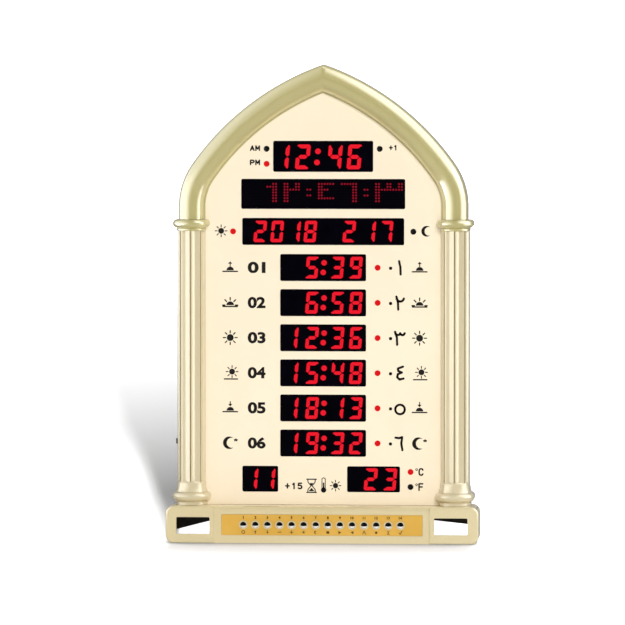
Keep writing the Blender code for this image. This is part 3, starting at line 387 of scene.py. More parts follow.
def carved(piece, name, angle, *steps):
    """The piece after steps of (operation, other pieces); the others are used up."""
    used = []
    for operation, others in steps:
        for other in others:
            modifier = piece.modifiers.new(operation.lower(), "BOOLEAN")
            modifier.operation = operation
            modifier.solver = "EXACT"
            modifier.object = other
        used += others
    fine = settled(piece, name, angle)
    discard(*used)
    return fine


def arc(centre_x, centre_y, radius, start, end, steps):
    turn = (end - start) / steps
    angles = [start + turn * step for step in range(steps + 1)]
    return [(centre_x + radius * cos(a), centre_y + radius * sin(a)) for a in angles]


def circle(centre_x, centre_y, diameter, steps):
    return arc(centre_x, centre_y, diameter / 2, 0.0, tau, steps)[:-1]


def rounded_rectangle(centre_x, centre_y, width, height, corner, steps=8):
    points = []
    for quarter, (side_x, side_y) in enumerate(((1, 1), (-1, 1), (-1, -1), (1, -1))):
        corner_x = centre_x + side_x * (width / 2 - corner)
        corner_y = centre_y + side_y * (height / 2 - corner)
        start = quarter * pi / 2
        points += arc(corner_x, corner_y, corner, start, start + pi / 2, steps)
    return points


def arch_half(offset, low_steps, high_steps, overrun=0.0):
    low_centre_x = COLUMN_X - ARCH_LOW_RADIUS
    reach = ARCH_HIGH_RADIUS - ARCH_LOW_RADIUS
    high_centre_x = low_centre_x - reach * cos(ARCH_LOW_ANGLE)
    high_centre_z = ARCH_SPRING_Z - reach * sin(ARCH_LOW_ANGLE)
    high_radius = ARCH_HIGH_RADIUS + offset
    apex_angle = acos((-high_centre_x - overrun) / high_radius)
    low_arc = arc(low_centre_x, ARCH_SPRING_Z, ARCH_LOW_RADIUS + offset, 0.0, ARCH_LOW_ANGLE,
                  low_steps)
    high_arc = arc(high_centre_x, high_centre_z, high_radius, ARCH_LOW_ANGLE, apex_angle,
                   high_steps)
    return low_arc + high_arc[1:]


def arch_outline(offset, bottom_z, low_steps=5, high_steps=9):
    right = arch_half(offset, low_steps, high_steps)
    left = [(-x, z) for x, z in reversed(right[:-1])]
    return [(COLUMN_X + offset, bottom_z)] + right + left + [(-COLUMN_X - offset, bottom_z)]


TURNS = {
    "X": (pi / 2, 0.0, pi / 2),
    "Y": (pi / 2, 0.0, 0.0),
    "Z": (0.0, 0.0, 0.0),
}


def line_curve(name, loops, closed):
    """Flat curve of straight lines through the points of each loop."""
    data = bpy.data.curves.new(name, "CURVE")
    data.dimensions = "2D"
    for loop in loops:
        spline = data.splines.new("POLY")
        spline.points.add(len(loop) - 1)
        for point, (x, y) in zip(spline.points, loop):
            point.co = (x, y, 0.0, 1.0)
        spline.use_cyclic_u = closed
    return new_piece(name, data)


def prism(name, loops, low, high, axis):
    """Flat outlines (the first outside, the rest holes) carried along one axis."""
    piece = line_curve(name, loops, True)
    piece.data.fill_mode = "BOTH"
    piece.data.extrude = (high - low) / 2
    piece.rotation_euler = TURNS[axis]
    piece.location["XYZ".index(axis)] = (low + high) / 2
    shape = evaluated_bmesh(piece)
    bmesh.ops.remove_doubles(shape, verts=shape.verts, dist=WELD)
    if len(loops) == 1:
        bmesh.ops.dissolve_limit(shape, angle_limit=FLAT_ANGLE, verts=shape.verts,
                                 edges=shape.edges)
    shape.transform(piece.matrix_world)
    discard(piece)
    return from_bmesh(name, shape)


def box(name, low, high):
    shape = bmesh.new()
    bmesh.ops.create_cube(shape, size=1.0)
    for vert in shape.verts:
        for axis in range(3):
            middle = (low[axis] + high[axis]) / 2
            vert.co[axis] = middle + vert.co[axis] * (high[axis] - low[axis])
    return from_bmesh(name, shape)


def rods(name, places, diameter, front_y, back_y):
    """Round bars along Y at (x, z) places."""
    shape = bmesh.new()
    for x, z in places:
        made = bmesh.ops.create_cone(shape, cap_ends=True, segments=48, radius1=diameter / 2,
                                     radius2=diameter / 2, depth=back_y - front_y)
        bmesh.ops.rotate(shape, verts=made["verts"], matrix=Matrix.Rotation(pi / 2, 3, "X"))
        bmesh.ops.translate(shape, verts=made["verts"], vec=(x, (front_y + back_y) / 2, z))
    return from_bmesh(name, shape)


def turned_shape(profile, steps):
    """Bmesh of a (radius, height) profile turned about Z, axis points welded."""
    shape = bmesh.new()
    rings = []
    for radius, height in profile:
        if radius < WELD:
            rings.append([shape.verts.new((0.0, 0.0, height))])
            continue
        rings.append([shape.verts.new((radius * cos(tau * k / steps),
                                       radius * sin(tau * k / steps), height))
                      for k in range(steps)])
    for upper, lower in zip(rings, rings[1:]):
        for k in range(steps):
            n = (k + 1) % steps
            corners = [upper[k % len(upper)], lower[k % len(lower)],
                       lower[n % len(lower)], upper[n % len(upper)]]
            unique = list(dict.fromkeys(corners))
            if len(unique) > 2:
                shape.faces.new(unique)
    return shape


def turned(name, profile, steps, matrix):
    shape = turned_shape(profile, steps)
    shape.transform(matrix)
    return from_bmesh(name, shape)


def dome(radius, foot, rise, steps):
    """(radius, height) profile from the top of a dome down to its foot."""
    angles = [pi / 2 * step / steps for step in range(steps + 1)]
    return [(radius * sin(a), foot + rise * cos(a)) for a in angles]


def facing(x, y, z, forward=True):
    """Matrix that turns a piece's own +Z to -Y (forward) or +Y and puts it at a place."""
    turn = pi / 2 if forward else -pi / 2
    return Matrix.Translation((x, y, z)) @ Matrix.Rotation(turn, 4, "X")


def carry(shape, made, back):
    """Move new vertices along Y."""
    moved = [item for item in made["geom"] if isinstance(item, bmesh.types.BMVert)]
    bmesh.ops.translate(shape, verts=moved, vec=(0.0, back, 0.0))


def half_turned(name, profile, carried_back):
    shape = turned_shape(profile, RING)
    everything = shape.verts[:] + shape.edges[:] + shape.faces[:]
    bmesh.ops.bisect_plane(shape, geom=everything, dist=WELD, plane_co=(0, 0, 0),
                           plane_no=(0, 1, 0), clear_outer=True)
    rim = [edge for edge in shape.edges if edge.is_boundary]
    carry(shape, bmesh.ops.extrude_edge_only(shape, edges=rim), carried_back)
    back_rim = [edge for edge in shape.edges if edge.is_boundary]
    bmesh.ops.contextual_create(shape, geom=back_rim)
    return from_bmesh(name, shape)


def flats(name, polygons, y, thickness=0.00005):
    """Thin printed or inlaid shapes: (x, z) polygons facing the front."""
    shape = bmesh.new()
    for polygon in polygons:
        shape.faces.new([shape.verts.new((px, y, pz)) for px, pz in polygon])
    bmesh.ops.triangulate(shape, faces=[f for f in shape.faces if len(f.verts) > 4])
    carry(shape, bmesh.ops.extrude_face_region(shape, geom=shape.faces[:]), thickness)
    return from_bmesh(name, shape)


# Columns


def base_profile():
    block_z = PLINTH_HEIGHT + GAP
    groove_z = block_z + BLOCK_HEIGHT
    torus_z = groove_z + BASE_GROOVE
    top_z = torus_z + BASE_TORUS_HEIGHT + FLARE_HEIGHT
    swell = BASE_TORUS_HEIGHT / 2
    points = [(0.0, top_z), (SHAFT_RADIUS - FLUTE_DEPTH / 2, top_z)]
    for step in range(1, 17):
        fall = step / 16
        spread = (FLARE_RADIUS - SHAFT_RADIUS - GAP) * fall ** 2
        points.append((SHAFT_RADIUS + GAP + spread, top_z - FLARE_HEIGHT * (0.08 + 0.89 * fall)))
    points += arc(BASE_TORUS_RADIUS - swell, torus_z + swell, swell, TORUS_END, -TORUS_END, 28)
    points += [(BLOCK_RADIUS - BASE_GROOVE, groove_z), (BLOCK_RADIUS, groove_z - GAP),
               (BLOCK_RADIUS, block_z), (0.0, block_z)]
    return points


def capital_profile():
    swell = CAPITAL_TORUS_HEIGHT / 2
    ring_z = CAPITAL_TOP_Z - CAPITAL_TORUS_HEIGHT - NECK_GROOVE
    ring_bottom = ring_z - NECK_RING_HEIGHT
    points = [(0.0, CAPITAL_TOP_Z)]
    points += arc(CAPITAL_TORUS_RADIUS - swell, CAPITAL_TOP_Z - swell, swell, radians(90),
                  -TORUS_END, 28)
    points += [(SHAFT_RADIUS, ring_z)]
    round_x = NECK_RING_RADIUS - NECK_ROUND
    points += arc(round_x, ring_z - NECK_ROUND, NECK_ROUND, radians(88), 0.0, 6)
    points += arc(round_x, ring_bottom + NECK_ROUND, NECK_ROUND, 0.0, radians(-88), 6)
    points += [(0.0, ring_bottom)]
    return points


def fluted_outline(carried_back):
    """Half round with flutes and a fine groove along each arris."""
    points = [(-SHAFT_RADIUS, carried_back)]
    steps = FLUTES * FLUTE_STEPS
    half_groove = ARRIS_GROOVE_WIDTH / SHAFT_RADIUS / 2
    for step in range(steps + 1):
        angle = pi + pi * step / steps
        across = (step % FLUTE_STEPS) / FLUTE_STEPS
        radius = SHAFT_RADIUS - FLUTE_DEPTH * sin(pi * across) ** 2
        if across == 0.0 and 0 < step < steps:
            cut = ((-half_groove, radius), (0.0, radius - ARRIS_GROOVE_DEPTH),
                   (half_groove, radius))
        else:
            cut = ((0.0, radius),)
        points += [(r * cos(angle + turn), r * sin(angle + turn)) for turn, r in cut]
    points.append((SHAFT_RADIUS, carried_back))
    return points


def make_column(name, side):
    depth = REAR_Y - SHOULDER_Y
    bottom_z = PLINTH_HEIGHT + GAP
    base = half_turned(name + "_base", base_profile(), depth + WALL)
    shaft_low = bottom_z + BLOCK_HEIGHT + BASE_GROOVE + BASE_TORUS_HEIGHT + FLARE_HEIGHT / 2
    shaft_high = CAPITAL_TOP_Z - CAPITAL_TORUS_HEIGHT - NECK_GROOVE - NECK_RING_HEIGHT / 2
    shaft = prism(name + "_shaft", [fluted_outline(depth + 2 * WALL)], shaft_low, shaft_high, "Z")
    capital = half_turned(name + "_capital", capital_profile(), depth + 3 * WALL)
    far = 2 * BASE_TORUS_RADIUS
    inside_wall = side * (SHAFT_RADIUS - WALL)
    pocket_radius = SHAFT_RADIUS - FLUTE_DEPTH - WALL
    seat_y = -GAP / 3
    hollow = [(-side * far, seat_y), (-side * pocket_radius, seat_y)]
    hollow += arc(0, 0, pocket_radius, pi * (1.5 - side / 2), pi * (1.5 + side / 2), 12)
    hollow += [(inside_wall, GAP), (inside_wall, depth), (side * far, depth),
               (side * far, far), (-side * far, far)]
    pocket = prism(name + "_pocket", [hollow], bottom_z - far, CAPITAL_TOP_Z + far, "Z")
    for piece in (base, shaft, capital, pocket):
        piece.location.x += side * COLUMN_X
        piece.location.y += SHOULDER_Y
    removed = [pocket]
    if side < 0:
        hole = rods("socket_hole", [(0, 0)], SOCKET_HOLE_DIAMETER, -0.01, 0.01)
        hole.rotation_euler.z = pi / 2
        hole.location = (-COLUMN_X - SHAFT_RADIUS, SOCKET_Y, SOCKET_Z)
        removed.append(hole)
    fine = carved(base, name + "_fine", SHARP, ("UNION", [shaft, capital]),
                  ("DIFFERENCE", removed))
    dress(fine, COLUMN_GOLD_LIT_TONE, name)
    fine.data.materials.append(GOLD)
    fine.data.materials.append(GROOVE_GOLD_PAINTED_SHADE)
    # The capital takes the second material and the sides of the arris grooves the third, a darker
    # gold that is painted shade in the grooves
    for face in fine.data.polygons:
        outward = face.center - Vector((side * COLUMN_X, SHOULDER_Y, face.center.z))
        if face.center.z > shaft_high - NECK_RING_HEIGHT / 2:
            face.material_index = 1
        elif (outward.y < -GROOVE_NEAR_SIDE and face.center.z > shaft_low
              and abs(face.normal.dot(outward.normalized())) < GROOVE_TILT):
            face.material_index = 2


# Arch


def make_arch():
    inner_radius = MOULDING_RADIUS - WALL
    back = REAR_Y - SHOULDER_Y
    lip_start = asin(LIP_HEIGHT / MOULDING_RADIUS) - pi
    lip_edge = -MOULDING_RADIUS - LIP_WIDTH
    soft = LIP_HEIGHT / 3
    points = [(MOULDING_RADIUS, back)]
    points += arc(0.0, 0.0, MOULDING_RADIUS, 0.0, lip_start, 44)
    points += arc(lip_edge + soft, -LIP_HEIGHT + soft, soft, -pi / 2, -pi, 5)
    points += [(lip_edge, 0.0)]
    points += arc(0.0, 0.0, inner_radius, -pi, 0.0, 16)
    points += [(inner_radius, back)]
    section = line_curve("arch_section", [[(outward, -rear) for outward, rear in points]], True)
    route = [(COLUMN_X, CAPITAL_TOP_Z + GAP)] + arch_half(0.0, 5 * 4, 9 * 4, MOULDING_RADIUS)
    sweep = line_curve("arch_sweep", [route], False)
    sweep.data.fill_mode = "NONE"
    sweep.data.bevel_mode = "OBJECT"
    sweep.data.bevel_object = section
    sweep.data.use_fill_caps = True
    sweep.rotation_euler = TURNS["Y"]
    sweep.location.y = SHOULDER_Y
    arch = settled(sweep, "arch_half", SHARP)
    discard(section)
    mirror = arch.modifiers.new("left half", "MIRROR")
    mirror.use_axis[0] = True
    mirror.use_bisect_axis[0] = True
    mirror.use_clip = True
    mirror.merge_threshold = WELD
    dress(settled(arch, "arch_fine", SHARP), GOLD, "arch_frame")


# Plinth


def key_places():
    return [((k - (KEY_COUNT - 1) / 2) * KEY_PITCH, KEY_Z) for k in range(KEY_COUNT)]


def make_plinth():
    outline = rounded_rectangle(0.0, PLINTH_HEIGHT / 2, PLINTH_WIDTH, PLINTH_HEIGHT,
                                PLINTH_CORNER, 16)
    plinth = prism("plinth_body", [outline], FRONT_Y, REAR_Y, "Y")
    weights = plinth.data.attributes.new("bevel_weight_edge", "FLOAT", "EDGE")
    for edge in plinth.data.edges:
        ends = [plinth.data.vertices[index].co.y for index in edge.vertices]
        weights.data[edge.index].value = float(all(abs(y - FRONT_Y) < WELD for y in ends))
    rounding = plinth.modifiers.new("rounded front edge", "BEVEL")
    rounding.limit_method = "WEIGHT"
    rounding.width = PLINTH_EDGE
    rounding.segments = 8
    top_y = CENTRE_FRONT_Y + CENTRE_TOP_ROUND
    before = FRONT_Y - BEYOND
    middle_cut = [(before, -BEYOND), (CENTRE_FRONT_Y, -BEYOND)]
    middle_cut += arc(top_y, PLINTH_HEIGHT - CENTRE_TOP_ROUND, CENTRE_TOP_ROUND, pi,
                      pi / 2, 16)
    middle_cut += [(top_y, PLINTH_HEIGHT + BEYOND), (before, PLINTH_HEIGHT + BEYOND)]
    half_centre = CENTRE_WIDTH / 2
    label_half = LABEL_WIDTH / 2 + GAP
    label_rise = LABEL_HEIGHT / 2 + GAP
    inner_half = PLINTH_WIDTH / 2 - PLINTH_WALL
    top_inside = PLINTH_HEIGHT - PLINTH_WALL
    cutters = [
        prism("centre_setback", [middle_cut], -half_centre, half_centre, "X"),
        box("label_seat", (-label_half, before, KEY_Z - label_rise),
            (label_half, LABEL_FLOOR_Y, KEY_Z + label_rise)),
        box("plinth_cavity", (-inner_half, CENTRE_INNER_Y, PLINTH_WALL),
            (inner_half, REAR_Y + BEYOND, top_inside)),
    ]
    for side in (-1, 1):
        near, outer = sorted((side * (half_centre + PLINTH_WALL), side * inner_half))
        cutters.append(box("end_pocket", (near, FRONT_Y + PLINTH_WALL, PLINTH_WALL),
                           (outer, REAR_Y, top_inside)))
        opening = rounded_rectangle(side * WINDOW_X, WINDOW_Z, WINDOW_WIDTH, WINDOW_HEIGHT,
                                    WINDOW_CORNER, 5)
        cutters.append(prism("window", [opening], before, CENTRE_INNER_Y + WALL, "Y"))
    rims = rods("key_rims", key_places(), KEY_RIM_DIAMETER, CENTRE_FRONT_Y - KEY_RIM_RISE,
                CENTRE_INNER_Y - WALL / 2)
    holes = rods("key_holes", key_places(), KEY_DIAMETER + 2 * GAP, before,
                 CENTRE_INNER_Y + WALL / 2)
    fine = carved(plinth, "plinth_fine", SHARP, ("DIFFERENCE", cutters), ("UNION", [rims]),
                  ("DIFFERENCE", [holes]))
    dress(fine, PLINTH_GOLD_LIT_TONE, "base_plinth")


def make_label():
    outline = rounded_rectangle(0.0, KEY_Z, LABEL_WIDTH, LABEL_HEIGHT, LABEL_CORNER, 5)
    holes = [circle(x, z, KEY_RIM_DIAMETER + 2 * GAP, 48) for x, z in key_places()]
    strip = prism("label_fine", [outline] + holes, CENTRE_FRONT_Y,
                  CENTRE_FRONT_Y + LABEL_THICKNESS, "Y")
    dress(strip, AMBER, "key_label_plate")


def make_keys():
    front = CENTRE_INNER_Y - CENTRE_FRONT_Y + KEY_RIM_RISE - GAP
    profile = dome(KEY_DIAMETER / 2, front, KEY_DOME, 16)
    profile += [(KEY_DIAMETER / 2, -GAP), (KEY_FLANGE_RADIUS, -GAP),
                (KEY_FLANGE_RADIUS, -GAP - KEY_FLANGE), (0.0, -GAP - KEY_FLANGE)]
    for index, (x, z) in enumerate(key_places(), 1):
        node = f"key_{index:02d}"
        key = turned(node + "_fine", profile, 48, facing(x, CENTRE_INNER_Y, z))
        dress(key, KEY_PAINTED_REFLECTION, node, node + "_body")


# Panel, displays and lamps

PRAYERS = ("dawn", "sunrise", "noon", "afternoon", "sunset", "night")
PRAYER_Z = [0.3843 - 0.04915 * row for row in range(6)]
MESSAGE_Z = 0.4872
DATE_Z = 0.4347
LOW_Z = 0.0882
# Names and places of the openings with their width and height, and of the lamps
OPENINGS = [
    ("display_time", 0.0, 0.5397, 0.1400, 0.0434),
    ("display_message", 0.0, MESSAGE_Z, 0.2296, 0.0420),
    ("display_date", 0.0, DATE_Z, 0.2268, 0.0378),
    ("display_countdown", -0.0882, LOW_Z, 0.0504, 0.0364),
    ("display_temperature", 0.0707, LOW_Z, 0.0742, 0.0364),
] + [("display_" + name, 0.0, z, 0.1204, 0.0378) for name, z in zip(PRAYERS, PRAYER_Z)]
LAMPS = [
    ("lamp_am", -0.0791, 0.5502, False),
    ("lamp_pm", -0.0791, 0.5292, True),
    ("lamp_summer_time", 0.0791, 0.5502, False),
    ("lamp_solar_date", -0.1262, DATE_Z, True),
    ("lamp_lunar_date", 0.1262, DATE_Z, False),
    ("lamp_celsius", 0.1225, 0.0987, True),
    ("lamp_fahrenheit", 0.1225, 0.0777, False),
] + [("lamp_" + name, 0.0763, z, True) for name, z in zip(PRAYERS, PRAYER_Z)]


def make_panel():
    loops = [arch_outline(-PANEL_EDGE, PLINTH_HEIGHT + GAP)]
    loops += [rounded_rectangle(*place, OPENING_CORNER) for _name, *place in OPENINGS]
    loops += [circle(x, z, LAMP_DIAMETER + GAP, 32) for _name, x, z, _lit in LAMPS]
    panel = prism("panel_fine", loops, PANEL_FRONT_Y, PANEL_BACK_Y, "Y")
    dress(panel, CREAM, "face_panel")


def make_lamps():
    radius = LAMP_DIAMETER / 2
    foot = LAMP_BACK_Y - PANEL_FRONT_Y + LAMP_SKIN
    shoulder = LAMP_BACK_Y - (PANEL_BACK_Y + GAP)
    profile = dome(LAMP_LENS_DIAMETER / 2, foot, LAMP_PROUD - LAMP_SKIN, 12)
    profile += [(radius, foot), (radius, shoulder), (LAMP_BODY_RADIUS, shoulder),
                (LAMP_BODY_RADIUS, shoulder - LAMP_BODY),
                (LAMP_STEM_RADIUS, shoulder - LAMP_BODY), (LAMP_STEM_RADIUS, 0.0), (0.0, 0.0)]
    for name, x, z, is_lit in LAMPS:
        lamp = turned(name + "_fine", profile, 32, facing(x, LAMP_BACK_Y, z))
        material = LAMP_RED if is_lit else SCREEN_BLACK
        dress(lamp, material, name)


SEGMENTS = {
    "0": "abcdef", "1": "bc", "2": "abged", "3": "abgcd", "4": "fgbc", "5": "afgcd",
    "6": "afgedc", "7": "abc", "8": "abcdefg", "9": "abcdfg", " ": "",
}
SLANT = tan(radians(5.2))


def digit(char, middle_x, middle_z, width, height, stroke):
    """Polygons of the lit segments of one slanted digit."""
    w, h, t = width / 2, height / 2, stroke
    s = 0.018 * height
    k = 0.32 * t
    shapes = {
        "a": [(-w + s + k, h), (w - s - k, h), (w - s, h - k), (w - t - s, h - t),
              (-w + t + s, h - t), (-w + s, h - k)],
        "b": [(w - k, h - s), (w, h - s - k), (w, t * 0.3 + s), (w - t / 2, s),
              (w - t, t * 0.55 + s), (w - t, h - t - s)],
        "g": [(-w + t / 2 + s, 0.0), (-w + t + s, t / 2), (w - t - s, t / 2),
              (w - t / 2 - s, 0.0), (w - t - s, -t / 2), (-w + t + s, -t / 2)],
    }
    for new, old, way_x, way_z in (("c", "b", 1, -1), ("d", "a", 1, -1), ("f", "b", -1, 1),
                                   ("e", "b", -1, -1)):
        shapes[new] = [(way_x * x, way_z * z) for x, z in shapes[old]]
    return [[(middle_x + x + z * SLANT, middle_z + z) for x, z in shapes[name]]
            for name in SEGMENTS[char]]


# Places read from the photograph, whose pixels are 1.4 mm on the panel
PIXEL = 0.0014
MIDDLE_COLUMN = 323.05
FOOT_LINE = 543.5
FOOT_LIFT = 0.0021


def px(x):
    """X on the panel of a photograph column."""
    return (x - MIDDLE_COLUMN) * PIXEL


def pz(y):
    """Z on the panel of a photograph line."""
    return (FOOT_LINE - y) * PIXEL - FOOT_LIFT


def make_digits():
    rows = {}

    def put(name, characters, centres, z, height, width_share=0.565, stroke_share=0.158):
        shapes = rows.setdefault(name, [])
        for char, x in zip(characters, centres):
            shapes += digit(char, px(x), z, height * width_share, height, height * stroke_share)

    def colon(name, x, z, spread, diameter):
        rows[name] += [circle(px(x) + rise * SLANT, z + rise, diameter, 24)
                       for rise in (spread, -spread)]

    put("display_time", "1246", (282.0, 302.8, 334.8, 354.4), pz(157.0), 0.0346)
    colon("display_time", 317.4, pz(157.0), 0.0078, 0.0080)
    put("display_date", "2018", (260.1, 277.1, 294.1, 310.3), pz(231.5), 0.0300)
    put("display_date", "217", (349.2, 369.2, 386.4), pz(231.5), 0.0300)
    times = (" 539", " 658", "1236", "1548", "1813", "1932")
    for name, text, z in zip(PRAYERS, times, PRAYER_Z):
        put("display_" + name, text, (291.6, 312.0, 337.5, 355.8), z, 0.0305)
        colon("display_" + name, 323.6, z, 0.0067, 0.0078)
    put("display_countdown", "11", (251.5, 268.6), LOW_Z, 0.0296)
    put("display_temperature", "23", (370.8, 390.2), LOW_Z, 0.0310)
    for name, shapes in rows.items():
        dress(flats(name + "_digits", shapes, LIT_Y, LIT_DEPTH), LED)


MATRIX_GLYPHS = {
    "0": "0 0 0 1 0 0 0",
    "1": "01 11 01 01 01 01 01",
    "2": "101 101 111 100 100 100 100",
    "3": "10101 10101 11111 10000 10000 10000 10000",
    "4": "111 100 110 100 100 111 000",
    "6": "111 001 001 001 001 001 001",
    ":": "0 0 1 0 1 0 0",
}
MATRIX_TEXT = "12:46:30"
MATRIX_START = 8
MATRIX_COLUMNS, MATRIX_LINES = 56, 8
MATRIX_PITCH = 0.004
MATRIX_DOT = 0.0030


def make_matrix():
    """Dot matrix: every dot of seven 8 by 8 modules, some of them lit as plain numerals."""
    lit_dots = set()
    column = MATRIX_START
    for char in MATRIX_TEXT:
        glyph = MATRIX_GLYPHS[char].split()
        for line, bits in enumerate(glyph):
            for step, bit in enumerate(bits):
                if bit == "1":
                    lit_dots |= {(column + 2 * step, line), (column + 2 * step + 1, line)}
        column += 2 * len(glyph[0]) + 2
    lit_shapes = []
    dark_shapes = []
    for c in range(MATRIX_COLUMNS):
        for line in range(MATRIX_LINES):
            x = (c - (MATRIX_COLUMNS - 1) / 2) * MATRIX_PITCH
            z = MESSAGE_Z + ((MATRIX_LINES - 1) / 2 - line) * MATRIX_PITCH
            shapes = lit_shapes if (c, line) in lit_dots else dark_shapes
            shapes.append(circle(x, z, MATRIX_DOT, 10))
    dress(flats("message_lit_dots", lit_shapes, LIT_Y, LIT_DEPTH), DOT)
    dress(flats("message_dark_dots", dark_shapes, UNLIT_Y, UNLIT_DEPTH), UNLIT_DOT)


# Printed marks

CAPITAL_SHARE = 0.73


def text_polygons(text, x, z, height, bold=0.0, width=None):
    """A centred line of type as a mesh of triangles in the (x, z) plane."""
    curve = bpy.data.curves.new("type", "FONT")
    curve.body = text
    curve.align_x = "CENTER"
    curve.size = height / CAPITAL_SHARE
    curve.offset = bold
    curve.resolution_u = 6
    piece = new_piece("type", curve)
    shape = evaluated_bmesh(piece)
    discard(piece)
    xs = [v.co.x for v in shape.verts]
    ys = [v.co.y for v in shape.verts]
    wide = max(xs) - min(xs)
    tall = max(ys) - min(ys)
    stretch = width / wide if width else 1.0
    middle_x, middle_y = (max(xs) + min(xs)) / 2, (max(ys) + min(ys)) / 2
    out = [[(x + (v.co.x - middle_x) * stretch, z + (v.co.y - middle_y) * height / tall)
            for v in face.verts] for face in shape.faces]
    shape.free()
    return out


def stroke(points, width):
    """A line of even width with round joints and ends."""
    out = []
    for (x0, z0), (x1, z1) in zip(points, points[1:]):
        length = hypot(x1 - x0, z1 - z0)
        if length < WELD:
            continue
        nx, nz = -(z1 - z0) / length * width / 2, (x1 - x0) / length * width / 2
        out.append([(x0 + nx, z0 + nz), (x1 + nx, z1 + nz),
                    (x1 - nx, z1 - nz), (x0 - nx, z0 - nz)])
    return out + [circle(x, z, width, 12) for x, z in points]


def curve_points(cx, cy, radius, start, end, steps):
    return arc(cx, cy, radius, radians(start), radians(end), steps)


def placed(shapes, x, z, size=1.0):
    """Shapes drawn about the origin, put at a place and size."""
    return [[(x + u * size, z + v * size) for u, v in shape] for shape in shapes]


def numeral(lines, x, z, size, width):
    """Strokes of one width along lines drawn in a unit square."""
    out = []
    for line in placed(lines, x - size / 2, z - size / 2, size):
        out += stroke(line, width)
    return out


EASTERN = {
    0: [[(0.46, 0.42), (0.54, 0.42), (0.54, 0.5), (0.46, 0.5), (0.46, 0.42)]],
    1: [[(0.42, 1), (0.52, 0.55), (0.54, 0)]],
    2: [[(0.22, 0.98), (0.34, 0.55), (0.36, 0)],
        [(0.24, 0.80)] + curve_points(0.52, 0.88, 0.27, 200, 350, 8)],
    3: [[(0.12, 0.98), (0.26, 0.55), (0.28, 0)],
        [(0.15, 0.82)] + curve_points(0.34, 0.90, 0.17, 210, 350, 6),
        curve_points(0.68, 0.90, 0.17, 190, 350, 6)],
    4: [[(0.72, 1), (0.34, 0.86), (0.36, 0.68), (0.64, 0.56), (0.34, 0.44), (0.28, 0.20),
         (0.46, 0.03), (0.76, 0.10)]],
    5: [curve_points(0.5, 0.42, 0.36, 0, 360, 20)],
    6: [[(0.16, 0.94), (0.42, 0.90), (0.66, 0.98)], [(0.66, 0.98), (0.60, 0.5), (0.68, 0)]],
}
LETTERS = {
    "A": [[(0, 0), (0.5, 1), (1, 0)], [(0.18, 0.32), (0.82, 0.32)]],
    "M": [[(0, 0), (0, 1), (0.5, 0.3), (1, 1), (1, 0)]],
    "P": [[(0, 0), (0, 1), (0.6, 1), (0.92, 0.88), (1, 0.72), (0.92, 0.56),
           (0.6, 0.44), (0, 0.44)]],
    "C": [[(1, 0.8), (0.8, 0.96), (0.5, 1), (0.2, 0.93), (0.03, 0.72), (0, 0.5),
           (0.03, 0.28), (0.2, 0.07), (0.5, 0), (0.8, 0.04), (1, 0.2)]],
    "F": [[(0, 0), (0, 1), (0.95, 1)], [(0, 0.52), (0.8, 0.52)]],
    "+": [[(0.05, 0.5), (0.95, 0.5)], [(0.5, 0.12), (0.5, 0.88)]],
    "1": [[(0.25, 0.78), (0.6, 1), (0.6, 0)]],
    "0": [curve_points(0.5, 0.5, 0.5, 0, 360, 16)],
    "5": [[(0.92, 1), (0.15, 1), (0.05, 0.56), (0.5, 0.62), (0.9, 0.5), (1, 0.3),
           (0.88, 0.1), (0.5, 0), (0.05, 0.1)]],
}


def lettering(text, x, z, height, width, gap, weight):
    """A centred line of plain bold signs drawn as strokes of even width."""
    pitch = width + gap
    first = x - (len(text) - 1) / 2 * pitch
    high, wide = height - weight, width - weight
    out = []
    for place, sign in enumerate(text):
        left = first + place * pitch - wide / 2
        for line in LETTERS[sign]:
            out += stroke([(left + u * wide, z + (v - 0.5) * high) for u, v in line], weight)
    return out


def sun(half=False, rays=8):
    out = [arc(0.0, 0.0, 0.25, 0.0, pi, 16) if half else circle(0.0, 0.0, 0.5, 24)]
    for k in range(5 if half else rays):
        a = k * (pi / 4 if half else tau / rays)
        out += stroke([(r * cos(a), r * sin(a)) for r in (0.34, 0.5)], 0.085)
    return out


def crescent():
    outer = curve_points(0.0, 0.0, 0.5, 48, 312, 24)
    inner = curve_points(0.2, 0.0, 0.4, 68, 292, 24)
    return [[outer[k], outer[k + 1], inner[k + 1], inner[k]] for k in range(24)]


def arrow(way):
    return [[(0.0, way * 0.5), (-0.45, 0.0), (0.45, 0.0)]] + stroke(
        [(0.0, way * 0.1), (0.0, -way * 0.5)], 0.22)


def star():
    points = []
    for k in range(10):
        radius = 0.07 if k % 2 else 0.16
        a = pi / 2 + k * pi / 5
        points.append((radius * cos(a), radius * sin(a)))
    return [points]


def hourglass(width, height):
    w, h = width / 2, height / 2
    bar = height * 0.09
    side = [(-w * 0.8, h), (-w * 0.75, h * 0.55), (-w * 0.12, 0.0), (-w * 0.75, -h * 0.55),
            (-w * 0.8, -h)]
    out = stroke([(-w, h), (w, h)], bar) + stroke([(-w, -h), (w, -h)], bar)
    out += stroke(side, bar * 0.8) + stroke([(-u, v) for u, v in side], bar * 0.8)
    return out + [[(-w * 0.42, h * 0.42), (w * 0.42, h * 0.42), (0.0, 0.0)],
                  [(-w * 0.62, -h * 0.82), (0.0, -h * 0.30), (w * 0.62, -h * 0.82)]]


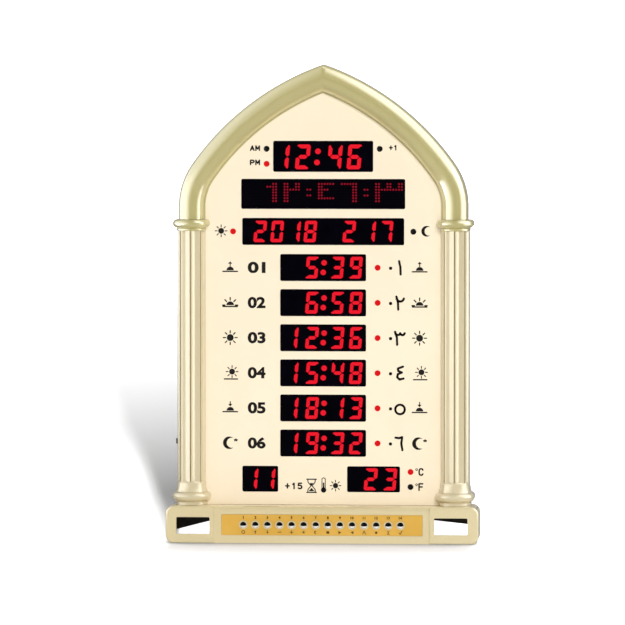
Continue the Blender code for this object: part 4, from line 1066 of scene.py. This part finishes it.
# Signs drawn about the origin, one unit in size
LINE = [(-0.5, 0), (0.5, 0)]
HORIZON = stroke([(-0.55, -0.30), (0.55, -0.30)], 0.10)
LOW_SUN = [arc(0, -0.22, 0.28, 0, pi, 16)]
PRAYER_ICONS = {
    "dawn": HORIZON + LOW_SUN + placed(arrow(1), 0, 0.28, 0.36),
    "sunrise": HORIZON + placed(sun(half=True), 0, -0.20, 1.15),
    "noon": placed(sun(), 0, 0, 1.05),
    "afternoon": placed(sun(), 0.14, 0.08, 0.9) + stroke([(-0.45, -0.48), (0.55, -0.48)], 0.10),
    "sunset": HORIZON + LOW_SUN + placed(arrow(-1), 0, 0.28, 0.36),
    "night": placed(crescent(), -0.08, 0, 0.95) + placed(star(), 0.42, 0.22),
}
THERMOMETER = (
    [circle(0, -0.33, 0.357, 24)] + stroke([(0, -0.33), (0, 0.12)], 0.10)
    + stroke([(-0.11, -0.33), (-0.11, 0.42)], 0.055) + stroke([(0.11, -0.33), (0.11, 0.42)], 0.055)
    + stroke([(-0.11, 0.42), (0, 0.49), (0.11, 0.42)], 0.055))
KEY_SIGNS = [
    stroke(curve_points(0, 0, 0.5, 60, 390, 12), 0.22),
    arrow(1),
    arrow(-1),
    stroke(LINE, 0.22),
    stroke(LINE, 0.22) + stroke([(0, -0.5), (0, 0.5)], 0.22),
    placed(sun(rays=6), 0, 0, 1.2),
    crescent(),
    [rounded_rectangle(0, 0, 1, 0.8, 0.12, 2)],
    [[(-0.5, -0.5), (0.5, 0), (-0.5, 0.5)]],
    [[(0.5, -0.5), (0.5, 0.5), (-0.5, 0)]],
    stroke([(-0.5, -0.5), (0, 0.5), (0.5, -0.5)], 0.22),
    [circle(0, 0, 0.8, 24)],
    hourglass(0.8, 1.1),
    stroke([(-0.5, 0), (-0.1, -0.5), (0.5, 0.5)], 0.22),
]


def make_panel_print():
    marks = []
    for text, x, y, letter_sizes in (
            ("AM", 254.9, 148.4, (0.0080, 0.0069, 0.0006, 0.0020)),
            ("PM", 254.9, 162.6, (0.0080, 0.0069, 0.0006, 0.0020)),
            ("+1", 393.0, 147.8, (0.0078, 0.0058, 0.0006, 0.0018)),
            ("+15", 293.6, 486.0, (0.0096, 0.0072, 0.0016, 0.0021)),
            ("C", 421.0, 471.4, (0.0112, 0.0074, 0.0, 0.0021)),
            ("F", 421.0, 486.5, (0.0112, 0.0074, 0.0, 0.0021))):
        marks += lettering(text, px(x), pz(y), *letter_sizes)
    for row, (name, z) in enumerate(zip(PRAYERS, PRAYER_Z), 1):
        marks += text_polygons(f"0{row}", px(256.5), z, 0.0160, 0.0009, 0.0250)
        marks += numeral(EASTERN[0], px(390.5), z, 0.0175, 0.0030)
        marks += numeral(EASTERN[row], px(400.0), z, 0.0185, 0.0032)
        for column in (230.0, 419.5):
            marks += placed(PRAYER_ICONS[name], px(column), z, 0.0185)
    for shapes, x, y, size in ((sun(), 221.0, 231.0, 0.0165), (crescent(), 426.5, 231.0, 0.0150),
                               (hourglass(0.0132, 0.0184), 311.5, 485.8, 1.0),
                               (THERMOMETER, 323.6, 485.0, 0.0210),
                               (sun(), 335.5, 485.5, 0.0150)):
        marks += placed(shapes, px(x), pz(y), size)
    for y in (471.4, 486.5):
        ring = curve_points(px(416.6), pz(y) + 0.0032, 0.0013, 0, 360, 12)
        marks += stroke(ring, 0.0010)
    dress(flats("panel_print", marks, PRINT_Y), INK)


def make_label_print():
    marks = []
    for index, (x, z) in enumerate(key_places()):
        marks += text_polygons(str(index + 1), x, z + 0.0104, 0.0038, 0.00022)
        marks += placed(KEY_SIGNS[index], x, z - 0.0101, 0.0042)
    dress(flats("label_print", marks, LABEL_PRINT_Y), BROWN_INK)


# Rear

SCREW_PLACES = [(side * x, z) for side in (-1, 1)
                for x, z in ((0.150, 0.080), (0.150, 0.300), (0.098, 0.556))]
SCREW_SINK = 0.0014
SCREW_RADIUS = 0.0032
SCREW_RISE = 0.0010
SCREW_SHANK_RADIUS = 0.0015
SCREW_LENGTH = 0.0105
SCREW_TIP = 0.0015
SCREW_RECESS = (-0.0017, -0.0004, -0.0003), (0.0017, 0.0006, 0.0003)
SCREW_TURN = 0.4
SCREW_HOLE = 0.0036
SCREW_SEAT = 0.0072
KEYHOLE_X, KEYHOLE_Z = 0.095, 0.478
KEYHOLE_RADIUS = 0.0050
KEYHOLE_SLOT = 0.0024
KEYHOLE_SLOT_LENGTH = 0.0110
SPEAKER_DIAMETER = 0.057
GRILLE_RADIUS = SPEAKER_DIAMETER / 2 - 2 * WALL
GRILLE_Z = 0.205
VENTS_Z = 0.520
VENT_LENGTH = 0.060
SLIT_PITCH = 0.0065
SLIT_HEIGHT = 0.0028
SLIT_CORNER = 0.00139


def make_rear():
    step_z = CAPITAL_TOP_Z - GAP
    side_x = COLUMN_X + SHAFT_RADIUS - WALL - GAP
    bottom_z = PLINTH_HEIGHT + GAP
    foot = [(-side_x, step_z), (-side_x, bottom_z), (side_x, bottom_z), (side_x, step_z)]
    loops = [arch_outline(MOULDING_RADIUS - WALL - GAP, step_z, 20, 36) + foot]
    half_slot = asin(KEYHOLE_SLOT / KEYHOLE_RADIUS)
    for x in (-KEYHOLE_X, KEYHOLE_X):
        loops.append(arc(x, KEYHOLE_Z, KEYHOLE_RADIUS, pi / 2 + half_slot,
                         tau + pi / 2 - half_slot, 36)
                     + arc(x, KEYHOLE_Z + KEYHOLE_SLOT_LENGTH, KEYHOLE_SLOT, 0, pi, 16))
    rises = [(k - 3) * SLIT_PITCH for k in range(7)]
    slits = [(GRILLE_Z + rise, 2 * sqrt(GRILLE_RADIUS ** 2 - rise ** 2)) for rise in rises]
    slits += [(VENTS_Z + k * SLIT_PITCH, VENT_LENGTH) for k in range(4)]
    loops += [rounded_rectangle(0, z, length, SLIT_HEIGHT, SLIT_CORNER, 6)
              for z, length in slits]
    loops += [circle(x, z, SCREW_HOLE, 24) for x, z in SCREW_PLACES]
    cover = prism("cover_plate", loops, COVER_INNER_Y, REAR_Y, "Y")
    seats = rods("screw_seats", SCREW_PLACES, SCREW_SEAT, REAR_Y - SCREW_SINK, REAR_Y + WALL)
    fine = carved(cover, "rear_cover_fine", COVER_SHARP, ("DIFFERENCE", [seats]))
    dress(fine, BLACK, "rear_cover")


def make_screws():
    """Round heads with a cross recess."""
    profile = [(0.0, SCREW_RISE)]
    profile += dome(SCREW_RADIUS, SCREW_RISE * 0.35, SCREW_RISE * 0.65, 8)[1:]
    profile += [(SCREW_RADIUS, 0.0), (SCREW_SHANK_RADIUS, 0.0),
                (SCREW_SHANK_RADIUS, -SCREW_LENGTH), (0.0, -SCREW_LENGTH - SCREW_TIP)]
    y = REAR_Y - SCREW_SINK + GAP
    for index, (x, z) in enumerate(SCREW_PLACES, 1):
        name = f"cover_screw_{index}"
        screw = turned(name + "_head", profile, 32, facing(x, y, z, forward=False))
        arms = [box("recess", *SCREW_RECESS) for _arm in range(2)]
        for turn, arm in zip((0.0, pi / 2), arms):
            arm.rotation_euler.y = turn + SCREW_TURN * index
            arm.location = (x, y + SCREW_RISE, z)
        fine = carved(screw, name + "_fine", COVER_SHARP, ("DIFFERENCE", arms))
        dress(fine, STEEL, name)


make_plinth()
make_label()
make_keys()
make_column("left_column", -1)
make_column("right_column", 1)
make_arch()
make_panel()
make_lamps()
make_digits()
make_matrix()
make_panel_print()
make_label_print()
make_rear()
make_screws()

KEPT = {"base_back_plate": BLACK, "main_board": BOARD, "key_board": BOARD, "cell_cup": BLACK,
        "backup_cell": STEEL, "speaker": CONE, "power_socket": BLACK}
for name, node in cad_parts.items():
    material = KEPT.get(name, LENS if name.startswith("display_") else None)
    if material:
        node.data.materials.clear()
        node.data.materials.append(material)


# Stage: one pale sheet that rises softly behind the clock

# Tones of the paper on the floor, behind the clock and as the gilding mirrors it
PAPER = 0.95
PAPER_BEHIND = 0.72
PAPER_MIRRORED = 0.35
SHEET_HALF_WIDTH = 0.8
SHEET_FRONT_Y = -6.0
SHEET_MIDDLE_Y = -1.0
SHEET_BEND_Y = 0.036
SHEET_BEND_RADIUS = 0.05
SHEET_TOP_Z = 1.7


def sheet_mesh():
    """Floor, soft bend of an eighth turn behind the clock, and a slant up to the top."""
    shape = bmesh.new()
    line = [(SHEET_FRONT_Y, 0.0), (SHEET_MIDDLE_Y, 0.0), (SHEET_BEND_Y, 0.0)]
    for step in range(1, 17):
        angle = pi / 4 * step / 16
        line.append((SHEET_BEND_Y + SHEET_BEND_RADIUS * sin(angle),
                     SHEET_BEND_RADIUS * (1 - cos(angle))))
    y, z = line[-1]
    line.append((y + SHEET_TOP_Z - z, SHEET_TOP_Z))
    rows = [[shape.verts.new((side * SHEET_HALF_WIDTH, y, z)) for side in (-1, 1)]
            for y, z in line]
    for low, high in zip(rows, rows[1:]):
        shape.faces.new([low[0], low[1], high[1], high[0]])
    data = bpy.data.meshes.new("stage_sheet")
    shape.to_mesh(data)
    shape.free()
    data.shade_smooth()
    return data


def paper_material():
    """Matt paper with painted light and shade that only the camera sees: a glow that whitens it
    with height, behind the windows and beside the clock, and a painted contact shadow before the
    plinth.

    Mirrored in the gilding the sheet is a plain grey, and from behind it is clear.
    """
    material = bpy.data.materials.new("stage_paper")
    material.use_nodes = True
    material.node_tree.nodes.clear()
    graph = Graph(material.node_tree)
    times, plus, slope = graph.times, graph.plus, graph.slope
    rays = graph.add("LightPath")
    seen = rays["Is Camera Ray"]
    x, y, z = graph.axes(graph.add("TexCoord")["Object"])
    across = graph.calculate("ABSOLUTE", x, 0.0)

    # Darker paper behind the clock, and on the floor before the plinth, where nooks shelter it, a
    # painted contact shadow that only the camera sees
    shelter = graph.add("AmbientOcclusion", Distance=0.14)["AO"]
    painted_contact_shadow = times(slope(shelter, 0.5, 0.9, 0.58, 0.0), slope(y, -0.030, -0.026, 1.0, 0.0), seen)
    tone = slope(z, 0.01, 0.06, PAPER, PAPER_BEHIND)
    paper = graph.add("BsdfDiffuse", Color=graph.calculate("SUBTRACT", tone, painted_contact_shadow))

    # Painted light that only the camera sees: a glow that whitens the sheet with height, fading
    # the cast shadow, and behind the windows, past the left shadow's edge and right of the clock
    rise = slope(z, 0.06, 0.26, 0.0, 0.86, "LINEAR")
    behind = slope(y, 0.020, 0.034)
    windows = times(slope(across, 0.205, 0.212, 1.0, 0.0), slope(z, 0.02, 0.05, 0.8, 0.0), behind)
    past_shadow = graph.calculate("SUBTRACT", across, times(z, 0.47))
    painted_trim_light = times(slope(past_shadow, 0.2045, 0.2305, 0.0, 0.6), slope(z, 0.16, 0.06))
    painted_right_light = times(behind, slope(x, 0.16, 0.19, 0.0, 0.4))
    painted_glow = plus(plus(rise, windows), plus(painted_trim_light, painted_right_light))
    lift = graph.add("Emission", Strength=times(seen, painted_glow))

    both = graph.fill(graph.new("AddShader"), {0: paper[0], 1: lift[0]}).outputs[0]
    dim = graph.add("Emission", Strength=PAPER_MIRRORED)[0]
    front = graph.mix(rays["Is Glossy Ray"], both, dim)
    clear = graph.add("BsdfTransparent")[0]
    graph.new("OutputMaterial",
              Surface=graph.mix(graph.add("NewGeometry")["Backfacing"], front, clear))
    return material


SHEET = new_piece("stage_sheet", sheet_mesh())
SHEET.data.materials.append(paper_material())

# Light: a broad lamp in front for the clock alone, one at the upper right for the sheet alone
# that lays the shadow at the left, a weak one above and behind, and a studio of pale walls

MIDDLE = Vector((0.0, 0.0, 0.33))


def make_lamp(name, way, distance, size, level, sheet_state=None):
    """Disk lamp aimed at the middle; a white sheet that faces it shows the given level.

    The sheet state says whether the lamp leaves out the stage sheet or lights only that.
    """
    way = Vector(way).normalized()
    data = bpy.data.lights.new(name, "AREA")
    data.shape = "DISK"
    data.size = size
    data.energy = level * (pi * distance) ** 2
    lamp = bpy.data.objects.new(name, data)
    bpy.context.scene.collection.objects.link(lamp)
    lamp.location = MIDDLE + way * distance
    lamp.rotation_euler = way.to_track_quat("Z", "Y").to_euler()
    lamp.visible_glossy = False
    if sheet_state:
        receivers = bpy.data.collections.new(name + "_receivers")
        receivers.objects.link(SHEET)
        receivers.collection_objects[0].light_linking.link_state = sheet_state
        lamp.light_linking.receiver_collection = receivers


make_lamp("key_light", (0.3, -1.0, 0.5), 6.0, 3.0, 0.64, "EXCLUDE")
make_lamp("sheet_light", (0.44, -1.0, 1.0), 6.0, 0.8, 0.79, "INCLUDE")
make_lamp("top_light", (0.0, 0.24, 1.0), 3.8, 0.9, 0.42)

WHITE = (1.0, 1.0, 1.0, 1.0)
AMBIENT = 0.25
ROOM = 0.22


def make_world():
    """White for the camera, an even grey for matt surfaces and a studio for the gilding.

    The gilding mirrors a dim front, a white wall that grows from the middle to the left, a
    narrower one at the right, a pale patch at the upper right, and a dim area behind.
    """
    world = bpy.data.worlds.new("studio")
    bpy.context.scene.world = world
    world.use_nodes = True
    world.node_tree.nodes.clear()
    graph = Graph(world.node_tree)
    times, plus, slope = graph.times, graph.plus, graph.slope
    rays = graph.add("LightPath")
    x, y, z = graph.axes(graph.add("TexCoord")["Generated"])
    left = times(slope(x, -0.05, -0.95, 0.0, 3.0), slope(z, 0.10, 0.55, 1.0, 0.55))
    right = slope(x, 0.74, 1.0, 0.0, 3.0)
    high = slope(times(x, z), 0.12, 0.40, 0.0, 2.8)
    behind = slope(y, 0.40, 0.75, 1.0, 0.1)
    level = plus(times(plus(left, right, high), behind), ROOM)
    studio, ambient, white = (graph.add("Background", Color=WHITE, Strength=strength)[0]
                              for strength in (level, AMBIENT, 1.0))
    unseen = graph.mix(rays["Is Glossy Ray"], ambient, studio)
    graph.new("OutputWorld", Surface=graph.mix(rays["Is Camera Ray"], unseen, white))


make_world()

# Camera: a long lens a little above and to the right of the clock's axis
AZIMUTH = radians(3.95)
ELEVATION = radians(2.53)
DISTANCE = 8.0
PIXELS_PER_METRE = 715.4
FRAME_PIXELS = 625.0
MIDDLE_PIXEL = (323.18, 306.395)
SENSOR = 36.0


def make_camera():
    """Camera that sees the clock's middle at MIDDLE_PIXEL of the frame."""
    back = Vector((sin(AZIMUTH) * cos(ELEVATION),
                   -cos(AZIMUTH) * cos(ELEVATION), sin(ELEVATION)))
    right = Vector((cos(AZIMUTH), sin(AZIMUTH), 0.0))
    up = back.cross(right)
    aim = MIDDLE - right * (MIDDLE_PIXEL[0] - FRAME_PIXELS / 2) / PIXELS_PER_METRE
    aim -= up * (FRAME_PIXELS / 2 - MIDDLE_PIXEL[1]) / PIXELS_PER_METRE
    data = bpy.data.cameras.new("camera")
    data.sensor_width = SENSOR
    data.lens = PIXELS_PER_METRE * DISTANCE * SENSOR / FRAME_PIXELS
    data.clip_end = 100.0
    camera = bpy.data.objects.new("camera", data)
    bpy.context.scene.collection.objects.link(camera)
    camera.location = aim + back * DISTANCE
    camera.rotation_euler = (-back).to_track_quat("-Z", "Y").to_euler()
    return camera


bpy.context.scene.camera = make_camera()
bpy.context.scene.view_settings.view_transform = "Standard"
